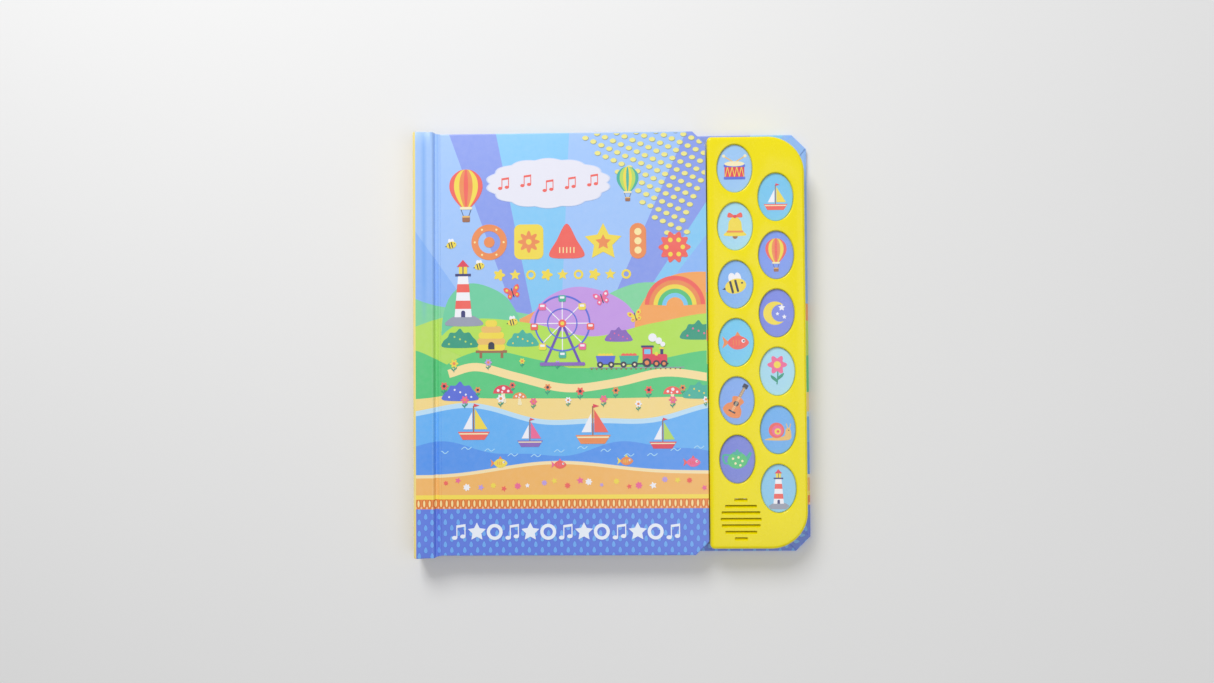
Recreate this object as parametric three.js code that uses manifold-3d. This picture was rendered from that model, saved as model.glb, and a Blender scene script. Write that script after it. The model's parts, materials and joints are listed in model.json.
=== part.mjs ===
// Sound book: a casebound board book lying on its back, with a push-button sound module at its right.
// Millimetres. X runs from the spine to the fore edge, Y from tail to head, Z up from the table.
// The origin is on the table, under the middle of the whole book.

import * as THREE from 'three';
import { mergeVertices } from 'three/addons/utils/BufferGeometryUtils.js';
import Module from 'manifold-3d';

const wasm = await Module();
wasm.setup();

// Driving dimensions of the case
const bookWidth = 240.7; // outer face of the spine to the free edge of the back cover
const coverHeight = 255; // head to tail of both covers
const backBoard = 3; // thickness of the back cover
const frontBoard = 2.8; // thickness of the front cover
const boardEdge = 0.6; // rounding of the wrapped board edges
const backCornerCut = 8.8; // cut corners at the free edge of the back cover
const frontCornerCut = 8.1; // cut corners at the free edge of the front cover
const paper = 0.2; // pasted inner sheets and wrap
const backSheetMargin = 1.2; // back cover's rim that its inner sheet leaves bare
const frontSheetMargin = 3; // front cover's rim that its inner sheet leaves bare

// Spine, shoulder and hinge grooves
const spineBoard = 2.8; // thickness of the spine
const spineOverhang = 1.7; // how far the spine stands past the covers at head and tail
const grooveTaper = 0.5; // how much of that overhang the shoulder loses at the groove
const spineLift = 0.6; // lower edge of the spine above the table
const spineRound = 2.5; // rounding of the spine's two long edges
const shoulderWidth = 12.5; // spine face to hinge groove
const shoulderRise = 1.1; // height of the shoulder over the front cover
const shoulderRound = 1; // rounding of the shoulder's edge at the groove
const frontGroove = 3.25; // width of the groove between shoulder and front cover
const backGroove = 3.2; // gap between spine and back cover
const grooveFill = 0.9; // thickness of the folded wrap in the front groove

// Pages
const leafCount = 8; // board leaves
const leafThickness = 1.29; // one leaf
const leafEdge = 0.25; // softened edge of a leaf
const pageInset = 3; // head and tail of the pages behind the covers' edges
const foreEdgeInset = 0.9; // fore edge of the pages behind the front cover's
const pageCornerCut = 9; // cut corners of the pages

// Sound module, outside
const moduleWidth = 58.35; // across both key columns
const moduleRightMargin = 3.8; // back cover that shows right of the module
const moduleEndMargin = 3.85; // back cover past the module at head and tail
const moduleHeight = 15.3; // above the inner sheet of the back cover
const coverGap = 0.45; // front cover to module
const outerCorner = 22; // corner radius at the fore edge
const innerCorner = 2.6; // corner radius beside the front cover
const topFillet = 2; // rounding of the upper edge
const shellWall = 1.8; // side walls
const facePlate = 2; // upper wall with the windows
const basePlate = 1.6; // lower plate
const baseClearance = 0.3; // base plate to side walls

// Windows and keys
const keysPerColumn = 6;
const leftColumnInset = 16.55; // module's left side to the left column's middle
const rightColumnInset = 17.4; // module's right side to the right column's middle
const firstKeyInset = 19.25; // module's head end to the first key's middle
const lastKeyInset = 35.95; // module's tail end to the last key's middle
const lastKeyToRib = 13.6; // least room from the last key's middle to the loudspeaker's ring rib
const columnWeb = 3; // plate left between the two columns' windows, seen along Y
const windowWeb = 5.8; // plate between two windows of a column
const windowChamfer = 0.5; // bevel round each window
const keyClearance = 0.35; // cap to window
const keyRecess = 1.5; // cap below the module's face
const keyBevel = 0.35; // softened rim of the cap
const flangeReach = 1.2; // flange past the window
const flangeThickness = 1.2;
const flangeGap = 0.1; // flange below the face plate
const stemRadius = 3.5;
const ovalSides = 20; // facets of a key's oval
const windowSides = 28; // facets of a window
const postSides = 12; // facets of a boss, pad or small post
const boreSides = 8; // facets of a screw and its hole
const speakerSides = 20; // facets of the loudspeaker's round pieces

// Grille and loudspeaker
const grilleFromLeft = 18.35; // module's left side to the grille's middle
const grilleFromTail = 18.05; // module's tail end to the grille's middle
const grilleRadius = 12.2;
const slotCount = 7;
const slotPitch = 3.85;
const slotWidth = 1.4;
const speakerRadius = 14;
const speakerSeat = 0.3; // speaker to its ring rib
const ringRib = 0.9; // wall of the ring rib
const ringRibDepth = 4;
const gasketThickness = 0.5;
const gasketWidth = 1.4;
const speakerFrameDepth = 4.5;
const speakerSheet = 0.6; // sheet metal of the frame
const magnetRadius = 7.5;
const magnetThickness = 4;
const coilHole = 4; // opening in the frame's floor for the voice coil

// Cells, tray and door
const cellRadius = 5.8;
const cellThickness = 5.4;
const cellCount = 3;
const cellClearance = 0.3; // cell to its pocket
const pocketWall = 1.2; // between two pockets
const trayFoot = 0.4; // lower rim of the tray above the table
const trayWall = 1.2; // rim round the door
const trayCeiling = 0.8; // roof over the cells
const trayFromHead = 89.65; // module's head end to the tray's middle
const trayHoleGap = 0.75; // tray to the opening in the back cover
const doorThickness = 1.2;
const doorRecess = 0.1; // door above the tray's rim
const doorGap = 0.3; // door to the tray
const doorHalfWidth = 10;
const doorCorner = 2;
const doorBossRadius = 2.9;
const doorBossHeight = 1;
const doorScrewRoom = 7; // length of tray that holds the door's screw
const contactThickness = 0.3;
const contactWidth = 3;
const contactGap = 0.2; // sprung contact to cell
const solderTab = 2.2; // terminal outside the tray

// Circuit board and keypad
const boardThickness = 1;
const boardOverTray = 0.5; // circuit board above the tray
const boardEdgeGap = 0.5; // circuit board to the case bosses
const keypadThickness = 0.8;
const domeHeight = 1.2;
const domeRadius = 5;
const domeTopRadius = 2.8;
const domeGap = 0.3; // key stem above its dome
const notchGap = 1; // circuit board to the loudspeaker's ring rib
const chipRadius = 6;
const chipHeight = 1.6;
const capacitorRadius = 2.5;
const capacitorHeight = 4;

// Screws and bosses
const screwShank = 0.9; // radius
const screwHead = 2; // radius
const screwHeadHeight = 1.2;
const screwLength = 6; // under the head
const driveWidth = 0.5; // cross slot's width
const driveDepth = 0.7;
const boreClearance = 0.3;
const caseBossRadius = 3;
const caseBossFromWall = 3.35; // inner wall to the boss's middle
const casePadHeight = 1.6; // pad of the base under a case boss
const boardBossRadius = 2.4;
const boardBossInset = 2.4; // edge of the circuit board to a board boss's middle

// Wires
const wireRadius = 0.5;
const wireSides = 8;
const wireSteps = 10;

const mergeTolerance = 1e-4;

// Heights worked out from the values above
const backSheetBottom = backBoard;
const backSheetTop = backBoard + paper;
const pagesTop = backSheetTop + leafCount * leafThickness;
const frontCoverBottom = pagesTop + paper;
const frontCoverTop = frontCoverBottom + frontBoard;
const shoulderTop = frontCoverTop + shoulderRise;
const moduleTop = backSheetTop + moduleHeight;
const plateBottom = moduleTop - facePlate;
const baseTop = backSheetTop + basePlate;
const padTop = baseTop + casePadHeight;
const keyTop = moduleTop - keyRecess;
const flangeTop = plateBottom - flangeGap;
const flangeBottom = flangeTop - flangeThickness;
const doorBottom = trayFoot + doorRecess;
const doorTop = doorBottom + doorThickness;
const cellBottom = doorTop + cellClearance;
const cellTop = cellBottom + cellThickness;
const leafBottom = cellTop + contactGap;
const leafTop = leafBottom + contactThickness;
const pocketTop = leafTop + cellClearance;
const trayTop = pocketTop + trayCeiling;
const boardBottom = trayTop + boardOverTray;
const boardTop = boardBottom + boardThickness;
const keypadTop = boardTop + keypadThickness;
const domeTop = keypadTop + domeHeight;
const stemBottom = domeTop + domeGap;
const gasketBottom = plateBottom - gasketThickness;
const speakerFloor = gasketBottom - speakerFrameDepth;
const magnetBottom = speakerFloor - magnetThickness;

// Places in plan worked out from the values above
const spineFace = -bookWidth / 2;
const freeEdge = bookWidth / 2;
const halfHeight = coverHeight / 2;
const spineInner = spineFace + spineBoard;
const shoulderEdge = spineFace + shoulderWidth;
const frontCoverLeft = shoulderEdge + frontGroove;
const backCoverLeft = spineInner + backGroove;
const moduleRight = freeEdge - moduleRightMargin;
const moduleLeft = moduleRight - moduleWidth;
const moduleHalf = halfHeight - moduleEndMargin;
const frontCoverRight = moduleLeft - coverGap;
const leftColumn = moduleLeft + leftColumnInset;
const rightColumn = moduleRight - rightColumnInset;
const firstKey = moduleHalf - firstKeyInset;
const grilleX = moduleLeft + grilleFromLeft;
const grilleY = grilleFromTail - moduleHalf;
const ribOuter = speakerRadius + speakerSeat + ringRib;
const riseOverRib = Math.sqrt(Math.max(0, (ribOuter + lastKeyToRib) ** 2 - (rightColumn - grilleX) ** 2));
const lastKey = Math.max(lastKeyInset - moduleHalf, grilleY + riseOverRib);
const stagger = (firstKey - lastKey) / (2 * keysPerColumn - 1);
const keyPitch = 2 * stagger;
const windowHalfWidth = (rightColumn - leftColumn - columnWeb) / 2;
const windowHalfLength = (keyPitch - windowWeb) / 2;
const trayX = (leftColumn + rightColumn) / 2;
const trayY = moduleHalf - trayFromHead;
const pocketRadius = cellRadius + cellClearance;
const cellPitch = 2 * pocketRadius + pocketWall;
const doorHalfLength = (cellCount * cellPitch + doorScrewRoom) / 2 - doorGap;
const trayHalfWidth = doorHalfWidth + doorGap + trayWall;
const trayHalfLength = doorHalfLength + doorGap + trayWall;
const firstCellY = trayY - doorHalfLength - doorGap + cellPitch / 2;
const doorScrewY = trayY + doorHalfLength - doorScrewRoom / 2;
const leftBossX = moduleLeft + shellWall + caseBossFromWall;
const rightBossX = moduleRight - shellWall - caseBossFromWall;
const boardLeft = leftBossX + caseBossRadius + boardEdgeGap;
const boardRight = rightBossX - caseBossRadius - boardEdgeGap;
const boardHead = moduleHalf - shellWall - boardEdgeGap;
const notchX = grilleX + ribOuter + notchGap;
const notchY = grilleY + ribOuter + notchGap;
const boardTail = lastKey - windowHalfLength;
const boardCornerCut = 0.6 * outerCorner;

// Places of the keys, from the head down, the left column first in each row
const keyPlaces = [];
for (let row = 0; row < keysPerColumn; row += 1) {
  keyPlaces.push([leftColumn, firstKey - row * keyPitch]);
  keyPlaces.push([rightColumn, firstKey - stagger - row * keyPitch]);
}

// Bosses stand between two keys of a column: the case's in every second gap, the board's in the others
const caseBosses = [];
const boardBosses = [];
for (let gap = 0; gap < keysPerColumn - 1; gap += 1) {
  const leftY = firstKey - stagger - gap * keyPitch;
  const rightY = leftY - stagger;
  if (gap % 2 === 0) {
    caseBosses.push([leftBossX, leftY], [rightBossX, rightY]);
  } else {
    boardBosses.push([boardLeft + boardBossInset, leftY], [boardRight - boardBossInset, rightY]);
  }
}

// Materials
const printedWrap = material(0x8fb9ee, 0.35, 0);
const spineWrap = material(0xf3e69a, 0.4, 0);
const innerSheet = material(0xa9c9f2, 0.55, 0);
const leafBoard = material(0xe9e4d8, 0.7, 0);
const yellowPlastic = material(0xeee419, 0.25, 0);
const keyPlastic = material(0xf2f2ee, 0.3, 0);
const blackPlastic = material(0x2b2b2d, 0.5, 0);
const boardLaminate = material(0xb98a3e, 0.55, 0);
const keypadRubber = material(0xd8d8d4, 0.8, 0);
const resin = material(0x161616, 0.35, 0);
const steel = material(0xc4c6c8, 0.3, 1);
const zincSteel = material(0xaeb0b2, 0.4, 1);
const ferrite = material(0x3a3a3c, 0.7, 0.2);
const conePaper = material(0x26262a, 0.85, 0);
const foam = material(0x1c1c1c, 0.95, 0);
const redInsulation = material(0xb3201c, 0.5, 0);
const blackInsulation = material(0x1a1a1a, 0.5, 0);

/** Standard material from a colour, a roughness and a metalness. */
function material(color, roughness, metalness) {
  return new THREE.MeshStandardMaterial({ color, roughness, metalness });
}

/** Closed manifold solid from a three.js geometry. */
function toSolid(geometry) {
  const bare = geometry.clone();
  bare.deleteAttribute('normal');
  bare.deleteAttribute('uv');
  const merged = mergeVertices(bare, mergeTolerance);
  return new wasm.Manifold(new wasm.Mesh({
    numProp: 3,
    vertProperties: Float32Array.from(merged.attributes.position.array),
    triVerts: Uint32Array.from(merged.index.array),
  }));
}

/** Three.js geometry from a manifold solid. */
function toGeometry(solid) {
  const mesh = solid.getMesh();
  const geometry = new THREE.BufferGeometry();
  geometry.setAttribute('position', new THREE.BufferAttribute(mesh.vertProperties, 3));
  geometry.setIndex(new THREE.BufferAttribute(mesh.triVerts, 1));
  geometry.computeVertexNormals();
  return geometry;
}

/** Points of an arc about a middle, with more steps on a larger radius. */
function arc(x, y, radius, from, to) {
  const steps = Math.max(2, Math.round(2 * Math.sqrt(radius)));
  const points = [];
  for (let i = 0; i <= steps; i += 1) {
    const angle = from + ((to - from) * i) / steps;
    points.push([x + radius * Math.cos(angle), y + radius * Math.sin(angle)]);
  }
  return points;
}

/** Outline of a rectangle with one radius for its left corners and one for its right ones. */
function roundedRectangle(left, right, bottom, top, leftRadius, rightRadius) {
  const quarter = Math.PI / 2;
  return [
    ...arc(right - rightRadius, bottom + rightRadius, rightRadius, -quarter, 0),
    ...arc(right - rightRadius, top - rightRadius, rightRadius, 0, quarter),
    ...arc(left + leftRadius, top - leftRadius, leftRadius, quarter, 2 * quarter),
    ...arc(left + leftRadius, bottom + leftRadius, leftRadius, 2 * quarter, 3 * quarter),
  ];
}

/** Rectangle about a middle, with the same radius at all four corners. */
function roundedPlate(x, y, halfWidth, halfLength, radius) {
  return roundedRectangle(x - halfWidth, x + halfWidth, y - halfLength, y + halfLength, radius, radius);
}

/** Rectangle with its two right-hand corners cut at 45 degrees, drawn in by an inset all round. */
function cutCornerOutline(left, right, half, cut, inset) {
  const x0 = left + inset;
  const x1 = right - inset;
  const y1 = half - inset;
  const c = cut - inset * (2 - Math.SQRT2);
  return [[x0, -y1], [x1 - c, -y1], [x1, c - y1], [x1, y1 - c], [x1 - c, y1], [x0, y1]];
}

/** Slab of an outline between two heights, with its edges rounded where a fillet is given. */
function slab(outline, bottom, top, fillet = 0, steps = 2) {
  const shape = new THREE.Shape(outline.map(([x, y]) => new THREE.Vector2(x, y)));
  const geometry = new THREE.ExtrudeGeometry(shape, {
    depth: top - bottom - 2 * fillet,
    bevelEnabled: fillet > 0,
    bevelThickness: fillet,
    bevelSize: fillet,
    bevelOffset: -fillet,
    bevelSegments: steps,
  });
  geometry.translate(0, 0, bottom + fillet);
  return toSolid(geometry);
}

/** Profile in X and Z carried along Y, about the middle of the book. */
function alongY(outline, from, to) {
  const shape = new THREE.Shape(outline.map(([x, z]) => new THREE.Vector2(x, z)));
  const geometry = new THREE.ExtrudeGeometry(shape, { depth: to - from, bevelEnabled: false });
  const turn = new THREE.Matrix4().makeBasis(
    new THREE.Vector3(1, 0, 0), new THREE.Vector3(0, 0, 1), new THREE.Vector3(0, -1, 0));
  geometry.applyMatrix4(turn);
  geometry.translate(0, to, 0);
  return toSolid(geometry);
}

/** Profile in Y and Z carried along X. */
function alongX(outline, from, to) {
  const shape = new THREE.Shape(outline.map(([y, z]) => new THREE.Vector2(y, z)));
  const geometry = new THREE.ExtrudeGeometry(shape, { depth: to - from, bevelEnabled: false });
  const turn = new THREE.Matrix4().makeBasis(
    new THREE.Vector3(0, 1, 0), new THREE.Vector3(0, 0, 1), new THREE.Vector3(1, 0, 0));
  geometry.applyMatrix4(turn);
  geometry.translate(from, 0, 0);
  return toSolid(geometry);
}

/** Axis-aligned block, used to cut slots. */
function block(x0, x1, y0, y1, z0, z1) {
  const geometry = new THREE.BoxGeometry(x1 - x0, y1 - y0, z1 - z0);
  geometry.translate((x0 + x1) / 2, (y0 + y1) / 2, (z0 + z1) / 2);
  return toSolid(geometry);
}

/** Upright round post, also used to cut round holes. */
function post(x, y, radius, bottom, top, sides = postSides) {
  const geometry = new THREE.CylinderGeometry(radius, radius, top - bottom, sides);
  geometry.rotateX(Math.PI / 2);
  geometry.translate(x, y, (bottom + top) / 2);
  return toSolid(geometry);
}

/** Solid of revolution about an upright axis; the profile lists radius and height. */
function turned(x, y, profile, sides = speakerSides) {
  const points = profile.map(([radius, height]) => new THREE.Vector2(radius, height));
  const geometry = new THREE.LatheGeometry(points, sides);
  geometry.rotateX(Math.PI / 2);
  geometry.translate(x, y, 0);
  return toSolid(geometry);
}

/** Ring of points on an oval, counterclockwise from above. */
function oval(x, y, halfWidth, halfLength, z, sides) {
  const ring = [];
  for (let i = 0; i < sides; i += 1) {
    const angle = (2 * Math.PI * i) / sides;
    ring.push([x + halfWidth * Math.cos(angle), y + halfLength * Math.sin(angle), z]);
  }
  return ring;
}

/** Closed solid through a stack of convex rings with equal counts, the lowest ring first. */
function loft(rings) {
  const count = rings[0].length;
  const last = (rings.length - 1) * count;
  const index = [];
  for (let level = 0; level < last; level += count) {
    for (let i = 0; i < count; i += 1) {
      const a = level + i;
      const b = level + ((i + 1) % count);
      index.push(a, b, b + count, a, b + count, a + count);
    }
  }
  for (let i = 1; i < count - 1; i += 1) {
    index.push(0, i + 1, i);
    index.push(last, last + i, last + i + 1);
  }
  const geometry = new THREE.BufferGeometry();
  geometry.setAttribute('position', new THREE.Float32BufferAttribute(rings.flat(2), 3));
  geometry.setIndex(index);
  return toSolid(geometry);
}

/** Board with cut corners and rounded edges, lofted through drawn-in copies of its outline. */
function coverBoard(left, right, cut, bottom, top) {
  const steps = 2;
  const rings = [];
  const level = (inset, z) => cutCornerOutline(left, right, halfHeight, cut, inset).map(([x, y]) => [x, y, z]);
  for (let i = 0; i <= steps; i += 1) {
    const angle = (Math.PI / 2) * (i / steps);
    rings.push(level(boardEdge * (1 - Math.sin(angle)), bottom + boardEdge * (1 - Math.cos(angle))));
  }
  for (let i = steps; i >= 0; i -= 1) {
    const angle = (Math.PI / 2) * (i / steps);
    rings.push(level(boardEdge * (1 - Math.sin(angle)), top - boardEdge * (1 - Math.cos(angle))));
  }
  return loft(rings);
}

/** Opening for the battery tray, cut through the back cover and its inner sheet. */
function trayOpening() {
  const outline = roundedPlate(trayX, trayY, trayHalfWidth + trayHoleGap, trayHalfLength + trayHoleGap,
    doorCorner + trayWall + trayHoleGap);
  return slab(outline, -backBoard, backSheetTop + backBoard);
}

/** Back cover: a board under the whole book, with the opening for the battery tray. */
function backCover() {
  return coverBoard(backCoverLeft, freeEdge, backCornerCut, 0, backBoard).subtract(trayOpening());
}

/** Sheet pasted over the inner side of the back cover. */
function backEndpaper() {
  const outline = cutCornerOutline(backCoverLeft, freeEdge, halfHeight, backCornerCut, backSheetMargin);
  return slab(outline, backSheetBottom, backSheetTop).subtract(trayOpening());
}

/** Front cover: the short board that hinges at the groove. */
function frontCover() {
  return coverBoard(frontCoverLeft, frontCoverRight, frontCornerCut, frontCoverBottom, frontCoverTop);
}

/** Sheet pasted inside the front cover. */
function frontEndpaper() {
  const outline = cutCornerOutline(
    frontCoverLeft, frontCoverRight, halfHeight, frontCornerCut, frontSheetMargin);
  return slab(outline, pagesTop, frontCoverBottom);
}

/** Spine board with rounded long edges and the shoulder that it carries over the pages. */
function spinePanel() {
  const quarter = Math.PI / 2;
  const profile = [
    ...arc(spineFace + spineRound, spineLift + spineRound, spineRound, 2 * quarter, 3 * quarter),
    [spineInner, spineLift],
    [spineInner, pagesTop],
    [shoulderEdge, pagesTop],
    ...arc(shoulderEdge - shoulderRound, shoulderTop - shoulderRound, shoulderRound, 0, quarter),
    ...arc(spineFace + spineRound, shoulderTop - spineRound, spineRound, quarter, 2 * quarter),
  ];
  const reach = halfHeight + spineOverhang;
  const taperedReach = reach - grooveTaper;
  const plan = [
    [spineFace - 1, -reach],
    [spineInner, -reach],
    [shoulderEdge, -taperedReach],
    [shoulderEdge + 1, -taperedReach],
    [shoulderEdge + 1, taperedReach],
    [shoulderEdge, taperedReach],
    [spineInner, reach],
    [spineFace - 1, reach],
  ];
  return alongY(profile, -reach - 1, reach + 1).intersect(slab(plan, spineLift - 1, shoulderTop + 1));
}

/** Folded wrap paper lying in the front hinge groove. */
function frontJoint() {
  const gap = baseClearance;
  const outline = roundedRectangle(
    shoulderEdge + gap, frontCoverLeft - gap, -halfHeight, halfHeight, gap, gap);
  return slab(outline, pagesTop, pagesTop + grooveFill);
}

/** Wrap paper that bridges the gap between spine and back cover. */
function backJoint() {
  const gap = baseClearance;
  const outline = roundedRectangle(
    spineInner + gap, backCoverLeft - gap, -halfHeight, halfHeight, gap, gap);
  return slab(outline, paper, 2 * paper);
}

/** Page block: board leaves fused to one solid, each with softened edges. */
function pageBlock() {
  const rings = [];
  const half = halfHeight - pageInset;
  const right = frontCoverRight - foreEdgeInset;
  const level = (inset, z) => cutCornerOutline(spineInner, right, half, pageCornerCut, inset)
    .map(([x, y]) => [x, y, z]);
  for (let leaf = 0; leaf < leafCount; leaf += 1) {
    const bottom = backSheetTop + leaf * leafThickness;
    if (leaf === 0) {
      rings.push(level(leafEdge, bottom));
    }
    rings.push(level(0, bottom + leafEdge));
    rings.push(level(0, bottom + leafThickness - leafEdge));
    rings.push(level(leafEdge, bottom + leafThickness));
  }
  return loft(rings);
}

/** Outline of the module, drawn in by an inset. */
function moduleOutline(inset) {
  return roundedRectangle(moduleLeft + inset, moduleRight - inset, inset - moduleHalf, moduleHalf - inset,
    Math.max(innerCorner - inset, 0.3), outerCorner - inset);
}

/** One window: a straight oval hole with a bevelled rim. */
function windowCutter([x, y]) {
  const rim = windowChamfer;
  const rings = [
    oval(x, y, windowHalfWidth, windowHalfLength, plateBottom - 1, windowSides),
    oval(x, y, windowHalfWidth, windowHalfLength, moduleTop - rim, windowSides),
    oval(x, y, windowHalfWidth + 2 * rim, windowHalfLength + 2 * rim, moduleTop + rim, windowSides),
  ];
  return loft(rings);
}

/** Slots of the round grille, as long as the circle leaves them. */
function grilleSlots() {
  const slots = [];
  for (let i = 0; i < slotCount; i += 1) {
    const y = (i - (slotCount - 1) / 2) * slotPitch;
    const reach = Math.sqrt(grilleRadius ** 2 - y ** 2);
    const outline = roundedPlate(grilleX, grilleY + y, reach, slotWidth / 2, slotWidth / 2 - 0.05);
    slots.push(slab(outline, plateBottom - 1, moduleTop + 1));
  }
  return slots;
}

/** Module cover: the yellow shell with windows, grille, ring rib and screw bosses. */
function moduleCover() {
  const skirt = topFillet + 1;
  let solid = slab(moduleOutline(0), backSheetTop - skirt, moduleTop, topFillet, 3);
  solid = solid.subtract(block(moduleLeft - 1, moduleRight + 1, -moduleHalf - 1, moduleHalf + 1,
    backSheetTop - skirt - 1, backSheetTop));
  solid = solid.subtract(slab(moduleOutline(shellWall), backSheetTop - 1, plateBottom));
  solid = solid.add(post(grilleX, grilleY, ribOuter, plateBottom - ringRibDepth, plateBottom + 1, speakerSides));
  solid = solid.subtract(
    post(grilleX, grilleY, ribOuter - ringRib, plateBottom - ringRibDepth - 1, plateBottom, speakerSides));
  for (const [x, y] of caseBosses) {
    solid = solid.add(post(x, y, caseBossRadius, padTop, plateBottom + 1));
    solid = solid.subtract(
      post(x, y, screwShank + boreClearance, padTop - 1, padTop + screwLength, boreSides));
  }
  for (const [x, y] of boardBosses) {
    solid = solid.add(post(x, y, boardBossRadius, keypadTop, plateBottom + 1));
    solid = solid.subtract(post(x, y, screwShank + boreClearance, keypadTop - 1, plateBottom, boreSides));
  }
  for (const cutter of [...keyPlaces.map(windowCutter), ...grilleSlots()]) {
    solid = solid.subtract(cutter);
  }
  return solid;
}

/** Middle of one cell along the tray. */
function cellY(index) {
  return firstCellY + index * cellPitch;
}

/** Module base: the plate that closes the shell, the battery tray and the loudspeaker's rest. */
function moduleBase() {
  const tray = roundedPlate(trayX, trayY, trayHalfWidth, trayHalfLength, doorCorner + trayWall);
  const recess = roundedPlate(trayX, trayY, doorHalfWidth + doorGap, doorHalfLength + doorGap, doorCorner);
  const slotHalf = contactWidth / 2 + cellClearance;
  const legRoom = cellRadius + contactGap + contactThickness + cellClearance;
  const slitBottom = leafBottom - cellClearance;
  let solid = slab(moduleOutline(shellWall + baseClearance), backSheetTop, baseTop);
  solid = solid.add(slab(tray, trayFoot, trayTop));
  solid = solid.add(post(grilleX, grilleY, magnetRadius - 2, baseTop - 1, magnetBottom));
  solid = solid.subtract(slab(recess, trayFoot - 1, doorTop + cellClearance / 2));
  for (let i = 0; i < cellCount; i += 1) {
    solid = solid.subtract(post(trayX, cellY(i), pocketRadius, doorTop - 1, pocketTop, speakerSides));
  }
  for (let i = 0; i < cellCount - 1; i += 1) {
    solid = solid.subtract(block(trayX - slotHalf, trayX + slotHalf,
      cellY(i), cellY(i) + legRoom, doorTop - 1, pocketTop));
    solid = solid.subtract(block(trayX - slotHalf, trayX + slotHalf,
      cellY(i), cellY(i + 1), slitBottom, pocketTop));
  }
  const first = cellY(0);
  const last = cellY(cellCount - 1);
  for (const y of [first, last]) {
    solid = solid.subtract(block(trayX, trayX + trayHalfWidth + 1,
      y - slotHalf, y + slotHalf, slitBottom, pocketTop));
  }
  solid = solid.subtract(block(trayX, trayX + legRoom, last - slotHalf, last + slotHalf,
    doorTop - 1, pocketTop));
  const bossRoom = doorTop + doorBossHeight + doorGap;
  solid = solid.subtract(post(trayX, doorScrewY, doorBossRadius + doorGap, trayFoot - 1, bossRoom));
  solid = solid.subtract(post(trayX, doorScrewY, screwShank + boreClearance, trayFoot - 1, pocketTop, boreSides));
  for (const [x, y] of caseBosses) {
    const headRoom = backSheetTop + screwHeadHeight + 2 * boreClearance;
    solid = solid.add(post(x, y, caseBossRadius, baseTop - 1, padTop));
    solid = solid.subtract(post(x, y, screwHead + boreClearance, backSheetTop - 1, headRoom));
    solid = solid.subtract(post(x, y, screwShank + boreClearance, backSheetTop - 1, padTop + 1, boreSides));
  }
  return solid;
}

/** Outline of the circuit board and keypad: a long plate that steps round the loudspeaker. */
function boardOutline(inset) {
  return [
    [boardLeft + inset, notchY + inset],
    [notchX + inset, notchY + inset],
    [notchX + inset, boardTail + inset],
    [boardRight - inset, boardTail + inset],
    [boardRight - inset, boardHead - boardCornerCut - inset],
    [boardRight - boardCornerCut - inset, boardHead - inset],
    [boardLeft + inset, boardHead - inset],
  ];
}

/** Circuit board with its screw holes. */
function circuitBoard() {
  let solid = slab(boardOutline(0), boardBottom, boardTop);
  for (const [x, y] of boardBosses) {
    solid = solid.subtract(post(x, y, screwShank + boreClearance, boardBottom - 1, boardTop + 1, boreSides));
  }
  return solid;
}

/** Rubber keypad: a thin sheet with one dome under each key. */
function keypad() {
  let solid = slab(boardOutline(0.5), boardTop, keypadTop);
  for (const [x, y] of boardBosses) {
    solid = solid.subtract(post(x, y, screwShank + boreClearance, boardTop - 1, keypadTop + 1, boreSides));
  }
  for (const [x, y] of keyPlaces) {
    solid = solid.add(loft([
      oval(x, y, domeRadius, domeRadius, boardTop + keypadThickness / 2, postSides),
      oval(x, y, domeRadius, domeRadius, keypadTop, postSides),
      oval(x, y, domeTopRadius, domeTopRadius, domeTop, postSides),
    ]));
  }
  return solid;
}

/** Key: oval cap, the flange that keeps it in, and the stem that presses its dome. */
function key([x, y]) {
  const capWidth = windowHalfWidth - keyClearance;
  const capLength = windowHalfLength - keyClearance;
  return loft([
    oval(x, y, stemRadius, stemRadius, stemBottom, ovalSides),
    oval(x, y, stemRadius, stemRadius, flangeBottom, ovalSides),
    oval(x, y, windowHalfWidth + flangeReach, windowHalfLength + flangeReach, flangeBottom, ovalSides),
    oval(x, y, windowHalfWidth + flangeReach, windowHalfLength + flangeReach, flangeTop, ovalSides),
    oval(x, y, capWidth, capLength, flangeTop, ovalSides),
    oval(x, y, capWidth, capLength, keyTop - keyBevel, ovalSides),
    oval(x, y, capWidth - keyBevel, capLength - keyBevel, keyTop, ovalSides),
  ]);
}

/** Foam ring between the loudspeaker and the face plate. */
function speakerGasket() {
  const outer = speakerRadius - speakerSeat;
  return turned(grilleX, grilleY, [
    [outer - gasketWidth, gasketBottom],
    [outer, gasketBottom],
    [outer, plateBottom],
    [outer - gasketWidth, plateBottom],
    [outer - gasketWidth, gasketBottom],
  ]);
}

/** Pressed loudspeaker frame: a rim, a tapered basket and a floor with the coil's hole. */
function speakerFrame() {
  const rim = speakerRadius - gasketWidth - speakerSheet;
  return turned(grilleX, grilleY, [
    [coilHole, speakerFloor],
    [magnetRadius + speakerSheet, speakerFloor],
    [speakerRadius - gasketWidth, gasketBottom - 2 * speakerSheet],
    [speakerRadius, gasketBottom - 2 * speakerSheet],
    [speakerRadius, gasketBottom],
    [rim, gasketBottom],
    [rim, gasketBottom - 2 * speakerSheet],
    [magnetRadius, speakerFloor + speakerSheet],
    [coilHole, speakerFloor + speakerSheet],
    [coilHole, speakerFloor],
  ]);
}

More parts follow.
